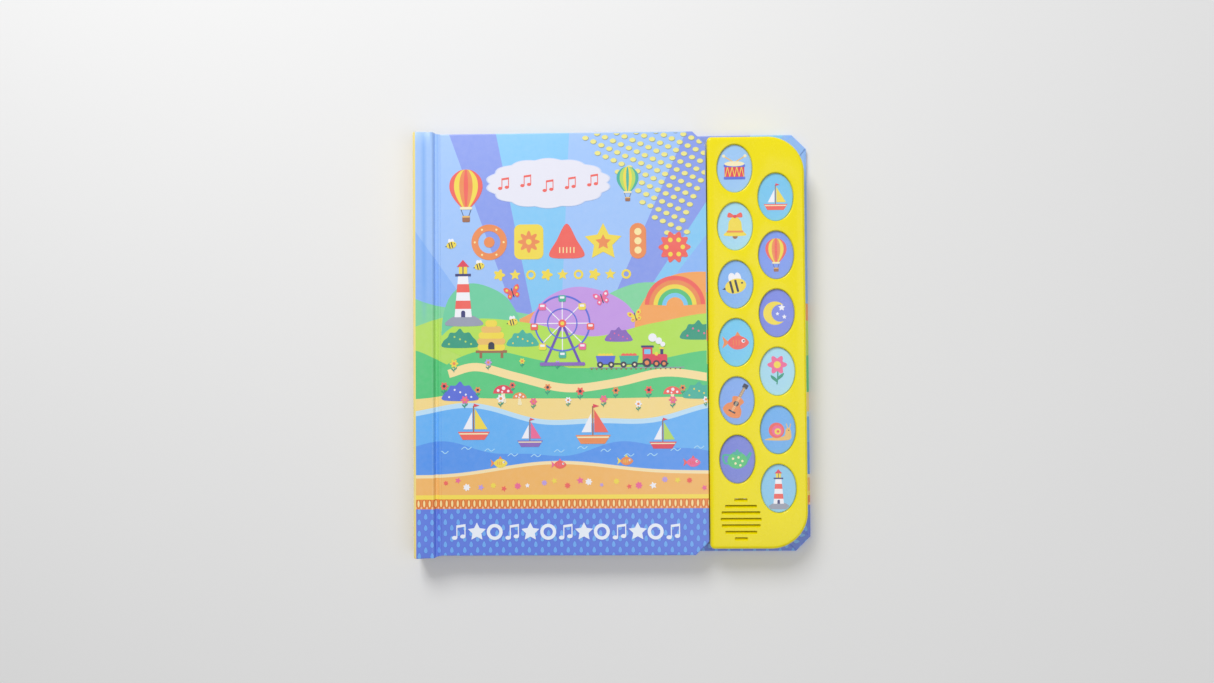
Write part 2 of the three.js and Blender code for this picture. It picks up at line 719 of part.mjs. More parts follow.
/** Paper cone with its dust cap, a thin shell above the frame's floor. */
function speakerCone() {
  const rim = speakerRadius - gasketWidth - 1.5 * speakerSheet;
  const sheet = speakerSheet / 2;
  const hub = coilHole - speakerSheet;
  const hubHeight = speakerFloor + 2.5 * speakerSheet;
  const rimHeight = gasketBottom - speakerSheet;
  return turned(grilleX, grilleY, [
    [0, hubHeight + sheet],
    [hub, hubHeight - sheet],
    [rim - 2 * sheet, rimHeight - sheet],
    [rim, rimHeight - sheet],
    [rim, rimHeight],
    [rim - 2 * sheet, rimHeight],
    [hub, hubHeight],
    [0, hubHeight + 2 * sheet],
  ]);
}

/** Magnet behind the loudspeaker's frame. */
function speakerMagnet() {
  return post(grilleX, grilleY, magnetRadius, magnetBottom, speakerFloor, speakerSides);
}

/** Button cell: a can with its smaller negative cap on top. */
function buttonCell(index) {
  const cap = 0.84 * cellRadius;
  const step = 0.06 * cellThickness;
  return turned(trayX, cellY(index), [
    [0, cellBottom],
    [cellRadius - step, cellBottom],
    [cellRadius, cellBottom + step],
    [cellRadius, cellTop - 2 * step],
    [cap, cellTop - step],
    [cap, cellTop],
    [0, cellTop],
  ]);
}

/** Link contact: a leg at the side of one cell, bent over to the cap of the next. */
function linkContact(index) {
  const leg = cellY(index) + cellRadius + contactGap;
  const tip = cellY(index + 1) + contactWidth / 2;
  const foot = cellBottom + contactWidth / 2;
  return alongX([
    [leg, foot],
    [leg + contactThickness, foot],
    [leg + contactThickness, leafBottom],
    [tip, leafBottom],
    [tip, leafTop],
    [leg, leafTop],
  ], trayX - contactWidth / 2, trayX + contactWidth / 2);
}

/** Negative contact: a leaf over the first cell that leaves the tray as a solder tab. */
function negativeContact() {
  const end = trayX + trayHalfWidth + solderTab;
  const y = cellY(0);
  return alongY([
    [trayX - contactWidth / 2, leafBottom],
    [end, leafBottom],
    [end, leafTop],
    [trayX - contactWidth / 2, leafTop],
  ], y - contactWidth / 2, y + contactWidth / 2);
}

/** Positive contact: a leg at the side of the last cell that leaves the tray as a solder tab. */
function positiveContact() {
  const end = trayX + trayHalfWidth + solderTab;
  const leg = trayX + cellRadius + contactGap;
  const foot = cellBottom + contactWidth / 2;
  const y = cellY(cellCount - 1);
  return alongY([
    [leg, foot],
    [leg + contactThickness, foot],
    [leg + contactThickness, leafBottom],
    [end, leafBottom],
    [end, leafTop],
    [leg, leafTop],
  ], y - contactWidth / 2, y + contactWidth / 2);
}

/** Battery door with the boss and counterbore for its screw. */
function batteryDoor() {
  const outline = roundedPlate(trayX, trayY, doorHalfWidth, doorHalfLength, doorCorner - doorGap);
  let solid = slab(outline, doorBottom, doorTop);
  solid = solid.add(
    post(trayX, doorScrewY, doorBossRadius, doorBottom + doorThickness / 2, doorTop + doorBossHeight));
  const seat = doorBottom + screwHeadHeight + 2 * boreClearance;
  solid = solid.subtract(post(trayX, doorScrewY, screwHead + boreClearance, doorBottom - 1, seat));
  solid = solid.subtract(
    post(trayX, doorScrewY, screwShank + boreClearance, doorBottom, doorTop + doorBossHeight + 1, boreSides));
  return solid;
}

/** Pan-head screw, head down, with a cross slot in its head. */
function screw(x, y, headBottom, length) {
  const neck = headBottom + screwHeadHeight;
  const tip = neck + length;
  const solid = turned(x, y, [
    [0, headBottom],
    [screwHead, headBottom],
    [screwHead, neck],
    [screwShank, neck],
    [screwShank, tip - screwShank],
    [0, tip],
  ], boreSides);
  const reach = screwHead - driveWidth;
  const half = driveWidth / 2;
  const top = headBottom + driveDepth;
  return solid
    .subtract(block(x - reach, x + reach, y - half, y + half, headBottom - 1, top))
    .subtract(block(x - half, x + half, y - reach, y + reach, headBottom - 1, top));
}

/** Resin cap over the chip, under the circuit board. */
function chipCap() {
  const [x, y] = [leftColumn, -moduleHalf / 4];
  return loft([
    oval(x, y, chipRadius / 2, chipRadius / 2, boardBottom - chipHeight, postSides),
    oval(x, y, 0.85 * chipRadius, 0.85 * chipRadius, boardBottom - chipHeight / 2, postSides),
    oval(x, y, chipRadius, chipRadius, boardBottom, postSides),
  ]);
}

/** Upright capacitor under the circuit board. */
function capacitor() {
  const [x, y] = [rightColumn, -moduleHalf / 3];
  return post(x, y, capacitorRadius, boardBottom - capacitorHeight, boardBottom);
}

/** Round wire along a smooth curve through chosen points. */
function wire(points) {
  const curve = new THREE.CatmullRomCurve3(points.map(([x, y, z]) => new THREE.Vector3(x, y, z)));
  const section = new THREE.Shape(
    oval(0, 0, wireRadius, wireRadius, 0, wireSides).map(([x, y]) => new THREE.Vector2(x, y)));
  return toSolid(new THREE.ExtrudeGeometry(section, { steps: wireSteps, extrudePath: curve }));
}

/** Battery wire: from a solder tab, out beside the tray and up to the circuit board. */
function batteryWire(y, side) {
  const tabEnd = trayX + trayHalfWidth + solderTab;
  const meet = boreClearance;
  return wire([
    [tabEnd + meet, y, leafBottom],
    [tabEnd + 1.5, y + side * 2, leafBottom],
    [tabEnd + 2, y + side * 6, leafBottom],
    [tabEnd + 2, y + side * 9, boardBottom - 1],
    [tabEnd + 2, y + side * 10, boardBottom - meet],
  ]);
}

/** Loudspeaker wire: from the frame's floor, past the magnet and up to the circuit board. */
function speakerWire(side) {
  const startX = grilleX + magnetRadius + 1 + wireRadius;
  const startY = grilleY + side * 2;
  const endX = notchX + 3 + side;
  const endY = boardTail + 3 + side;
  const meet = boreClearance;
  return wire([
    [startX, startY, speakerFloor - meet],
    [startX + 1, startY, speakerFloor - 2],
    [(startX + endX) / 2, (startY + endY) / 2, boardBottom - 3],
    [endX, endY - 1, boardBottom - 2],
    [endX, endY, boardBottom - meet],
  ]);
}

const soundBook = new THREE.Group();
soundBook.name = 'sound_book';

/** Add one named piece to the book. */
function add(name, solid, finish) {
  const mesh = new THREE.Mesh(toGeometry(solid), finish);
  mesh.name = name;
  soundBook.add(mesh);
}

// Case and pages
add('back_cover', backCover(), printedWrap);
add('back_endpaper', backEndpaper(), innerSheet);
add('spine_panel', spinePanel(), spineWrap);
add('front_joint', frontJoint(), printedWrap);
add('back_joint', backJoint(), printedWrap);
add('page_block', pageBlock(), leafBoard);
add('front_cover', frontCover(), printedWrap);
add('front_endpaper', frontEndpaper(), innerSheet);

// Sound module
add('module_cover', moduleCover(), yellowPlastic);
add('module_base', moduleBase(), yellowPlastic);
add('circuit_board', circuitBoard(), boardLaminate);
add('chip_cap', chipCap(), resin);
add('capacitor', capacitor(), blackPlastic);
add('keypad', keypad(), keypadRubber);
keyPlaces.forEach((place, i) => {
  add(`button_${String(i + 1).padStart(2, '0')}`, key(place), keyPlastic);
});

// Loudspeaker
add('speaker_gasket', speakerGasket(), foam);
add('speaker_frame', speakerFrame(), zincSteel);
add('speaker_cone', speakerCone(), conePaper);
add('speaker_magnet', speakerMagnet(), ferrite);

// Power
for (let i = 0; i < cellCount; i += 1) {
  add(`button_cell_${i + 1}`, buttonCell(i), steel);
}
for (let i = 0; i < cellCount - 1; i += 1) {
  add(`contact_link_${i + 1}`, linkContact(i), steel);
}
add('contact_negative', negativeContact(), steel);
add('contact_positive', positiveContact(), steel);
add('battery_door', batteryDoor(), yellowPlastic);
add('battery_door_screw', screw(trayX, doorScrewY, doorBottom + boreClearance, screwLength / 2), zincSteel);

// Screws of the case and of the circuit board
caseBosses.forEach(([x, y], i) => {
  add(`case_screw_${i + 1}`, screw(x, y, backSheetTop + boreClearance, screwLength), zincSteel);
});
boardBosses.forEach(([x, y], i) => {
  add(`board_screw_${i + 1}`, screw(x, y, boardBottom - screwHeadHeight, screwLength / 1.5), zincSteel);
});

// Wires
add('battery_wire_red', batteryWire(cellY(cellCount - 1), 1), redInsulation);
add('battery_wire_black', batteryWire(cellY(0), -1), blackInsulation);
add('speaker_wire_red', speakerWire(1), redInsulation);
add('speaker_wire_black', speakerWire(-1), blackInsulation);

export default soundBook;
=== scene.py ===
"""Looks of the sound book: printed wrap, board leaves, glossy sound module and its twelve picture keys.

Lengths in the helpers are millimetres in the book's own frame, and a mesh is put down in metres.
"""

import math
import json

import bpy
import numpy as np
from mathutils.geometry import delaunay_2d_cdt
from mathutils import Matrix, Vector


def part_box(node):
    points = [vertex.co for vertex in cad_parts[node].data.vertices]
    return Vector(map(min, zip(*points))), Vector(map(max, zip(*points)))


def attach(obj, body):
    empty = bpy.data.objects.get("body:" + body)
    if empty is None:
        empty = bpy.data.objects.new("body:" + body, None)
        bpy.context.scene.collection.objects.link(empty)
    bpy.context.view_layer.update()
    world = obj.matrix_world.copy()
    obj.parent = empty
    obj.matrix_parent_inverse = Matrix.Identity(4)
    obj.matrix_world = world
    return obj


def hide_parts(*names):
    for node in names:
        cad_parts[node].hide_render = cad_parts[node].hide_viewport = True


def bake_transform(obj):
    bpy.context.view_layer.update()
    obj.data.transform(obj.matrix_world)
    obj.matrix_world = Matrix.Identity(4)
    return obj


bl_info = {
    "name": "Sound book looks",
    "version": (1, 0, 0),
    "blender": (4, 5, 0),
    "location": "View3D > Sidebar > Sound book",
    "description": "Builds the printed covers, pages, sound module and keys around the packed part",
    "category": "Object",
}

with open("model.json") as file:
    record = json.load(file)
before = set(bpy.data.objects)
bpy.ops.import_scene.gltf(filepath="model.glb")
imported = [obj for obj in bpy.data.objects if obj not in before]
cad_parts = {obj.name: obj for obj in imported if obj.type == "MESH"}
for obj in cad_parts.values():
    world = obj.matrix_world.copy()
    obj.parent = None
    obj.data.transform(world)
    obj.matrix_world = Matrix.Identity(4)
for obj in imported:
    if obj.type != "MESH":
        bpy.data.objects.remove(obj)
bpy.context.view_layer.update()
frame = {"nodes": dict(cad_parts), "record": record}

MM = 0.001
TURN = 2 * math.pi


def span(node):
    """Lowest and highest corner of a CAD node, in millimetres."""
    low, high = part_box(node)
    return np.array(low) / MM, np.array(high) / MM


COVER_LOW, COVER_HIGH = span("front_cover")
BACK_LOW, BACK_HIGH = span("back_cover")
SPINE_LOW, SPINE_HIGH = span("spine_panel")
PAGES_LOW, PAGES_HIGH = span("page_block")
MODULE_LOW, MODULE_HIGH = span("module_cover")
SHEET_TOP = span("back_endpaper")[1][2]
HALF = COVER_HIGH[1]
COVER_TOP = COVER_HIGH[2]
SHOULDER_EDGE = SPINE_HIGH[0]
SPINE_FACE = SPINE_LOW[0]
MODULE_TOP = MODULE_HIGH[2]
KEYS = sorted(name for name in frame["nodes"] if name.startswith("button_") and "cell" not in name)

# Cut corners of the covers and the leaves, the module's large corner, and the count of leaves
FRONT_CUT, BACK_CUT, PAGE_CUT = 8.1, 8.8, 9.0
MODULE_CORNER = 22.0
LEAVES = 8

# Points round a key or a window, and round a screw boss
RING, BOSS_RING = 64, 24

# The print is laid out from its own origin, this far left of the front cover's fore edge
PRINT_X = COVER_HIGH[0] - 55.4

# Bands of the cover print, as heights over the cover's middle
BAND_TOP = -99.4
TRIM_TOP = -93.6
LINE_TOP = -91.0


# Colours

def tone(code):
    """Linear colour of a six-digit sRGB code."""
    s = np.array([int(code[i:i + 2], 16) for i in (0, 2, 4)]) / 255
    linear = np.where(s <= 0.04045, s / 12.92, ((s + 0.055) / 1.055) ** 2.4)
    return (*linear.tolist(), 1.0)


CORAL, RED, PINK, ORANGE = tone("f2655c"), tone("e2435a"), tone("f06a9b"), tone("ee8f55")
YELLOW, CREAM, SAND = tone("f3dc4c"), tone("f7ebc0"), tone("eec06a")
LIME, GREEN, TEAL, PINE = tone("b9dd62"), tone("58c57e"), tone("45b5a0"), tone("2f9c80")
SKY, COBALT, NAVY = tone("7fcaf3"), tone("5a6fdc"), tone("383a78")
LILAC, PLUM, VIOLET = tone("c0a0e2"), tone("8c68c0"), tone("6a4eb4")
WHITE, GREY, DARK, BROWN = tone("f4f4fb"), tone("9aa0b4"), tone("33364d"), tone("a06a4e")
GLAD = [CORAL, YELLOW, PINK, ORANGE, LILAC, WHITE]


# Shader helpers

class Wire:
    """An output socket that takes part in Python arithmetic; each operation adds one Math node."""

    def __init__(self, paint, socket):
        self.paint = paint
        self.socket = socket

    def math(self, operation, *others):
        sockets = dict(enumerate((self, *others)))
        return self.paint.node("ShaderNodeMath", {"operation": operation}, sockets)

    def __add__(self, other):
        return self.math("ADD", other)

    def __sub__(self, other):
        return self.math("SUBTRACT", other)

    def __rsub__(self, other):
        return (self * -1) + other

    def __mul__(self, other):
        return self.math("MULTIPLY", other)

    def __truediv__(self, other):
        return self.math("DIVIDE", other)

    def __lt__(self, other):
        return self.math("LESS_THAN", other)

    def __gt__(self, other):
        return self.math("GREATER_THAN", other)

    __radd__ = __add__
    __rmul__ = __mul__


class Paint:
    """A material with a Principled surface, built up node by node."""

    def __init__(self, name):
        self.material = bpy.data.materials.new(name)
        self.material.use_nodes = True
        self.tree = self.material.node_tree
        self.surface = self.tree.nodes["Principled BSDF"]

    def node(self, kind, settings=None, sockets=None, out=0):
        """Add a node: its settings first, then a value or a wire for each named or numbered socket."""
        made = self.tree.nodes.new(kind)
        for key, value in (settings or {}).items():
            if key == "stops":
                self.stops(made.color_ramp, value)
            else:
                setattr(made, key, value)
        for key, value in (sockets or {}).items():
            self.join(value, made.inputs[key])
        return Wire(self, made.outputs[out])

    def stops(self, ramp, stops):
        """Give a ramp its stops, each a place and a colour, held constant between them."""
        ramp.interpolation = "CONSTANT"
        while len(ramp.elements) < len(stops):
            ramp.elements.new(1.0)
        for element, (place, colour) in zip(ramp.elements, stops):
            element.position = place
            element.color = colour

    def join(self, value, socket):
        """Link a wire to a socket, or set a plain value on it."""
        if isinstance(value, Wire):
            self.tree.links.new(value.socket, socket)
        else:
            socket.default_value = value

    def parts(self, vector):
        """The X, Y and Z of a vector."""
        split = self.tree.nodes.new("ShaderNodeSeparateXYZ")
        self.join(vector, split.inputs[0])
        return [Wire(self, output) for output in split.outputs]

    def place(self):
        """The point's X, Y and Z in millimetres."""
        return [part * (1 / MM) for part in self.parts(self.node("ShaderNodeTexCoord", out=3))]

    def mix(self, mask, first, second):
        """First colour where the mask is 0, second where it is 1."""
        return self.node("ShaderNodeMix", {"data_type": "RGBA"}, {0: mask, 6: first, 7: second}, out=2)

    def noise(self, scale, detail):
        """Noise from 0 to 1, with a scale in waves per metre."""
        point = self.node("ShaderNodeTexCoord", out=3)
        return self.node("ShaderNodeTexNoise", {}, {"Vector": point, "Scale": scale, "Detail": detail})

    def set(self, **values):
        """Set the surface's sockets by name, with underscores for blanks."""
        for key, value in values.items():
            self.join(value, self.surface.inputs[key.replace("_", " ")])
        return self

    def bump(self, height, distance):
        """Feed a height from 0 to 1 through one Bump node, with its depth in millimetres."""
        sockets = {"Strength": 1.0, "Distance": distance * MM, "Height": height}
        return self.set(Normal=self.node("ShaderNodeBump", {}, sockets))


def hills(x, y, level, rise, length, shift):
    """Mask that is 1 below a rolling line: level plus a sine of x, with a shorter sine on it."""
    wave = (x * (TURN / length) + shift).math("SINE") * rise
    ripple = (x * (TURN * 2.3 / length) + shift * 1.7).math("SINE") * (rise * 0.35)
    return y < (wave + ripple + level)


def fields(paint, x, y, colour, rows):
    """Rolling fields laid one over the other, each below its own line and in its own colour."""
    for level, rise, length, shift, hue in rows:
        colour = paint.mix(hills(x, y, level, rise, length, shift), colour, tone(hue))
    return colour


def bead(across, along, half_width, half_height):
    """Mask that is 1 inside an oval: the squares of both shares of its half sizes add up to less than 1."""
    return (across / half_width).math("POWER", 2.0) + (along / half_height).math("POWER", 2.0) < 1.0


def loops(x, y):
    """Woven trim: tall pale beads in a row, dark shades between them and small points at the lower edge."""
    pitch, middle = 3.36, BAND_TOP + 3.2
    across = ((x / pitch).math("FRACT") - 0.5) * pitch
    between = ((x / pitch + 0.5).math("FRACT") - 0.5) * pitch
    tall = bead(across, y - middle, 0.62, 2.0)
    ring = bead(across, y - middle, 1.25, 2.75) * bead(across, y - middle, 0.95, 2.4).math("LESS_THAN", 0.5)
    point = bead(between, y - (BAND_TOP + 0.7), 0.55, 0.75)
    return tall, ring, point


def drops(x, y, grow=0.0):
    """Staggered drops: ovals that narrow upwards, on columns that step by half a row."""
    column, row = 3.9, 6.7
    place = x / column
    odd = (place * 0.5).math("FRACT") > 0.5
    across = (place.math("FRACT") - 0.5) * column
    along = ((y / row + odd * 0.5).math("FRACT") - 0.5) * row
    width = 1.05 + grow - along * 0.2
    return bead(across, along, width, 1.8 + grow)


def sunburst(paint, x, y):
    """Rays from one point: the angle about it, as a share of a turn, picks a colour from a stepped ramp."""
    share = ((y + 52).math("ARCTAN2", x + 36) / TURN + 1.0).math("FRACT")
    mid, bright, deep, pale = tone("84b4f8"), tone("7cc8f6"), tone("7f94ea"), tone("9cc3fa")
    rays = [(0, mid), (51, bright), (56, deep), (65, pale), (86, bright), (100, deep), (109.5, pale),
            (124, mid), (140, bright), (158, pale), (172, mid), (200, deep), (230, pale), (262, mid),
            (290, bright), (318, pale), (340, deep)]
    stops = [(angle / 360, hue) for angle, hue in rays]
    return paint.node("ShaderNodeValToRGB", {"stops": stops}, {0: share})


def wrap_paint(name="printed_wrap", turned=False):
    """Printed and coated wrap, all from X, Y and Z of the book.

    Sunburst, fields, trim and drops follow X and Y. The spine's face is where X lies left of a line, and
    carries dots on a square lattice in Y and Z. Beside it a darker blue band of painted shade fades in
    towards the head.
    On the turned-in corners X and Y are mirrored about the cut, as the same paper seen folded over.
    """
    spine_print, dot_pitch, dot_share = 1.9, 5.2, 0.028
    shade_at, shade_narrow, shade_rise = 115.6, 0.45, 0.03
    paint = Paint(name)
    x, y, z = paint.place()
    if turned:
        side = (y > 0) * 2 - 1
        sum_at_cut = BACK_HIGH[0] + HALF - BACK_CUT
        x, y = (side * y) * -1 + sum_at_cut, side * (sum_at_cut - x)
    x = x - PRINT_X
    colour = sunburst(paint, x, y)
    glow = paint.noise(9.0, 1.0)
    colour = paint.mix(glow * 0.14, colour, tone("b9d6ff"))
    colour = fields(paint, x, y, colour, (
        (26, 9, 190, 0.4, "7fd6a0"), (16, 8, 150, 2.6, "f3a45e"), (4, 10, 210, 4.6, "b9e25c"),
        (-12, 7, 140, 1.2, "4fca7c"), (-30, 6, 230, 3.0, "f8dc8c"), (-42, 5, 170, 5.2, "bfe3fb"),
        (-45, 5, 170, 5.2, "62b4fa"), (-64, 4, 120, 0.9, "4f96f2"), (-76, 4, 260, 2.2, "fbe6b4"),
        (-78, 4, 260, 2.2, "f7ba62")))
    grain = paint.noise(330.0, 5.0)
    colour = paint.mix(grain * 0.08, colour, tone("ffffff"))
    colour = paint.mix(y < LINE_TOP, colour, tone("fbe25c"))
    colour = paint.mix(y < TRIM_TOP, colour, tone("ee8c44"))
    tall, ring, point = loops(x, y)
    colour = paint.mix((y < TRIM_TOP) * ring, colour, tone("d06c32"))
    colour = paint.mix((y < TRIM_TOP) * tall, colour, tone("fde7a6"))
    colour = paint.mix((y < TRIM_TOP) * point, colour, tone("fbc7a4"))
    band = paint.mix(drops(x, y, 0.3), tone("6484e6"), tone("5876dc"))
    band = paint.mix(drops(x, y), band, tone("74b4fa"))
    band = paint.mix(grain * 0.12, band, tone("8a74e8"))
    colour = paint.mix(y < BAND_TOP, colour, band)
    # Painted shade: a darker blue band along the spine's shoulder, fading in towards the head, stands in for
    # the shade there
    shade = (1 - ((x + shade_at) * shade_narrow).math("ABSOLUTE")).math("MAXIMUM", 0)
    shade = shade * ((y - 10) * shade_rise).math("MAXIMUM", 0).math("MINIMUM", 1)
    colour = paint.mix(shade * 0.6, colour, tone("6fa6ee"))
    face = x < SPINE_FACE - PRINT_X + spine_print
    colour = paint.mix(face, colour, tone("f9e48c"))
    row = ((y + 200) / dot_pitch).math("FRACT") - 0.5
    column = ((z + 20) / dot_pitch).math("FRACT") - 0.5
    spot = (row * row + column * column) < dot_share
    colour = paint.mix(face * spot, colour, tone("f2a65a"))
    fibre = paint.noise(900.0, 4.0)
    dull = paint.noise(24.0, 2.0)
    paint.set(Base_Color=colour, Roughness=dull * 0.12 + 0.3, Coat_Weight=0.2, Coat_Roughness=0.2)
    return paint.bump(fibre * 0.5 + dull, 0.02).material


def ink_paint(name, roughness):
    """Printed ink: the piece's own tone attribute, with a little unevenness of the print."""
    paint = Paint(name)
    hue = paint.node("ShaderNodeAttribute", {"attribute_name": "tone"})
    patch = paint.noise(160.0, 4.0)
    colour = paint.mix(patch * 0.05, hue, tone("ffffff"))
    fibre = paint.noise(900.0, 4.0)
    paint.set(Base_Color=colour, Roughness=patch * 0.1 + roughness, Coat_Weight=0.15, Coat_Roughness=0.3)
    return paint.bump(fibre, 0.01).material


def leaf_paint():
    """Cut board leaves: grey-white pulp on the edges with painted shade along the gaps between leaves, a
    printed picture field on the open faces.
    """
    paint = Paint("board_leaves")
    x, y, z = paint.place()
    pulp = paint.noise(1400.0, 6.0)
    edge = paint.mix(pulp, tone("d8d2c4"), tone("f3efe6"))
    layer = ((z - PAGES_LOW[2]) / ((PAGES_HIGH[2] - PAGES_LOW[2]) / LEAVES)).math("FRACT")
    # Painted shade: the leaf edges turn grey-blue near each gap between leaves, where shade falls
    leaf_gap_shade = (layer - 0.5).math("ABSOLUTE") > 0.44
    edge = paint.mix(leaf_gap_shade * 0.5, edge, tone("8c93a8"))
    face = fields(paint, x, y, tone("a9cdf8"), (
        (10, 8, 170, 1.0, "a5dfa0"), (-14, 9, 220, 3.1, "f6cf83"), (-44, 6, 150, 5.0, "7fc4f4"),
        (-78, 5, 200, 0.3, "f5b0a0")))
    normal = paint.node("ShaderNodeNewGeometry", out=1)
    flat = paint.parts(normal)[2].math("ABSOLUTE") > 0.9
    paint.set(Base_Color=paint.mix(flat, edge, face), Roughness=flat * -0.4 + 0.85)
    return paint.bump(pulp, 0.05).material


def sheet_paint():
    """Pasted inner sheets: pale blue paper printed with small white dots in a lattice."""
    paint = Paint("inner_sheet")
    x, y, z = paint.place()
    pitch = 9.0
    step = (y / pitch).math("FLOOR") * 0.5
    across = ((x / pitch + step).math("FRACT") - 0.5) * pitch
    along = ((y / pitch).math("FRACT") - 0.5) * pitch
    dot = (across * across + along * along).math("SQRT") < 1.5
    fibre = paint.noise(700.0, 4.0)
    colour = paint.mix(dot, tone("9cc4f6"), tone("dfecfd"))
    paint.set(Base_Color=paint.mix(fibre * 0.1, colour, tone("ffffff")), Roughness=fibre * 0.1 + 0.45)
    return paint.bump(fibre, 0.02).material


def plastic_paint():
    """Glossy injection moulding: deep yellow, faint flow marks and a trace of orange peel."""
    paint = Paint("yellow_moulding")
    flow = paint.noise(14.0, 2.0)
    peel = paint.noise(260.0, 2.0)
    colour = paint.mix(flow, tone("f0de00"), tone("f4e606"))
    paint.set(Base_Color=colour, Roughness=peel * 0.06 + 0.24, Coat_Weight=0.2, Coat_Roughness=0.12,
              Specular_IOR_Level=0.35)
    return paint.bump(peel, 0.012).material


def plain_paint(name, dark, light, roughness, metallic, grain, depth):
    """Finish of a hidden or small piece: two close tones mixed by noise, with a matching relief."""
    paint = Paint(name)
    patch = paint.noise(grain, 4.0)
    paint.set(Base_Color=paint.mix(patch, tone(dark), tone(light)), Roughness=patch * 0.15 + roughness,
              Metallic=metallic)
    return paint.bump(patch, depth).material


HIDDEN = {
    "board_laminate": ("8a6a2c", "b08a44", 0.4, 0.0, 500.0, 0.02),
    "chip_resin": ("101012", "242428", 0.3, 0.0, 120.0, 0.05),
    "capacitor_sleeve": ("1c1d22", "34363e", 0.35, 0.0, 200.0, 0.02),
    "keypad_rubber": ("c8c8c4", "e4e4e0", 0.65, 0.0, 300.0, 0.03),
    "foam_ring": ("141414", "2c2c2c", 0.9, 0.0, 900.0, 0.2),
    "pressed_steel": ("9ea0a4", "c8cacc", 0.3, 1.0, 160.0, 0.02),
    "cone_paper": ("1e1e20", "3a3a3c", 0.8, 0.0, 700.0, 0.08),
    "magnet_ferrite": ("2a2a2c", "48484a", 0.6, 0.3, 500.0, 0.05),
    "cell_steel": ("b4b8bc", "dcdedf", 0.2, 1.0, 90.0, 0.01),
    "screw_steel": ("8e9094", "c4c6c8", 0.3, 1.0, 400.0, 0.03),
    "red_wire": ("a01818", "cc2c22", 0.4, 0.0, 300.0, 0.02),
    "black_wire": ("0e0e10", "28282a", 0.4, 0.0, 300.0, 0.02),
}


# Mesh helpers

def put(name, points, faces, body, finish, tones=None, standing_for=()):
    """One finished piece from points in millimetres: meshed, painted, and riding on its body."""
    mesh = bpy.data.meshes.new(name)
    mesh.from_pydata((np.asarray(points, float) * MM).tolist(), [], faces)
    if tones is not None:
        layer = mesh.attributes.new("tone", "FLOAT_COLOR", "FACE")
        layer.data.foreach_set("color", np.asarray(tones, np.float32).ravel())
    mesh.polygons.foreach_set("use_smooth", [False] * len(mesh.polygons))
    mesh.update()
    piece = bpy.data.objects.new(name, mesh)
    bpy.context.scene.collection.objects.link(piece)
    mesh.materials.append(finish)
    if standing_for:
        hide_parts(*standing_for)
    if body:
        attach(piece, body)
    return piece


def soften(piece, degrees=35):
    """Shade smooth across edges that turn less than an angle."""
    piece.data.polygons.foreach_set("use_smooth", [True] * len(piece.data.polygons))
    piece.data.set_sharp_from_angle(angle=math.radians(degrees))
    return piece


def stack(rings, caps=True):
    """Closed solid through rings, lowest first: quads between them and one flat face at each end."""
    rings = np.asarray(rings, float)
    rows, count = rings.shape[:2]
    i = np.arange(rows - 1)[:, None] * count
    j = np.arange(count)[None, :]
    k = (j + 1) % count
    faces = np.stack([i + j, i + k, i + count + k, i + count + j], axis=-1).reshape(-1, 4).tolist()
    if caps:
        faces.append(list(range(count))[::-1])
        faces.append(list(range((rows - 1) * count, rows * count)))
    return rings.reshape(-1, 3), faces


def joined(*parts):
    """One set of points and faces from several."""
    points, faces, count = [], [], 0
    for part_points, part_faces in parts:
        points.append(part_points)
        faces += [[count + i for i in face] for face in part_faces]
        count += len(part_points)
    return np.vstack(points), faces


def flipped(part):
    """The same part with its faces turned over."""
    points, faces = part
    return points, [list(face)[::-1] for face in faces]


def inside(points, outline):
    """Mask of the points inside an outline, by counting the sides that a line to the right crosses."""
    x, y = points[:, 0, None], points[:, 1, None]
    a, b = outline, np.roll(outline, -1, axis=0)
    crosses = (a[:, 1] > y) != (b[:, 1] > y)
    rise = np.where(b[:, 1] == a[:, 1], 1.0, b[:, 1] - a[:, 1])
    at_x = a[:, 0] + (y - a[:, 1]) * (b[:, 0] - a[:, 0]) / rise
    return (crosses & (x < at_x)).sum(axis=1) % 2 == 1


def plate(outline, holes, z):
    """Flat net of triangles at a height, inside an outline and outside its holes, facing up."""
    rims = [np.asarray(outline), *[np.asarray(hole) for hole in holes]]
    starts = np.cumsum([0] + [len(rim) for rim in rims])
    edges = [(int(start + i), int(start + (i + 1) % len(rim)))
             for start, rim in zip(starts, rims) for i in range(len(rim))]
    points, _, triangles, _, _, _ = delaunay_2d_cdt(np.vstack(rims).tolist(), edges, [], 0, 1e-5)
    points = np.array([tuple(point) for point in points])
    triangles = np.array(triangles)
    middle = points[triangles].mean(axis=1)
    keep = inside(middle, rims[0])
    for hole in rims[1:]:
        keep &= ~inside(middle, hole)
    return at(points, z), triangles[keep].tolist()


def drawn_in(profile, inset):
    """Closed profile moved inwards along the mean of the normals of its two sides at each point."""
    side = np.roll(profile, -1, axis=0) - profile
    side = side / np.linalg.norm(side, axis=1)[:, None]
    mean = side + np.roll(side, 1, axis=0)
    mean = mean / np.linalg.norm(mean, axis=1)[:, None]
    return profile + np.column_stack([-mean[:, 1], mean[:, 0]]) * inset


def carried(profile, reach, edge=0.0, steps=4):
    """Profile in X and Z carried from head to tail, up to a reach that depends on X.

    Near both ends the profile is drawn in along a quarter circle, which rounds the end's edge.
    """
    angle = np.linspace(0, math.pi / 2, steps if edge else 1)
    insets, backs = edge * (1 - np.sin(angle)), edge * (1 - np.cos(angle))
    rings = []
    for inset, back in zip(insets, backs):
        ring = drawn_in(profile, inset)
        rings.append(np.column_stack([ring[:, 0], reach(ring[:, 0]) - back, ring[:, 1]]))
    inner = [rings[-1] * np.array([1, share, 1]) for share in np.linspace(1, -1, 30)[1:-1]]
    tail = [ring * np.array([1, -1, 1]) for ring in rings[::-1]]
    return stack(rings + inner + tail)


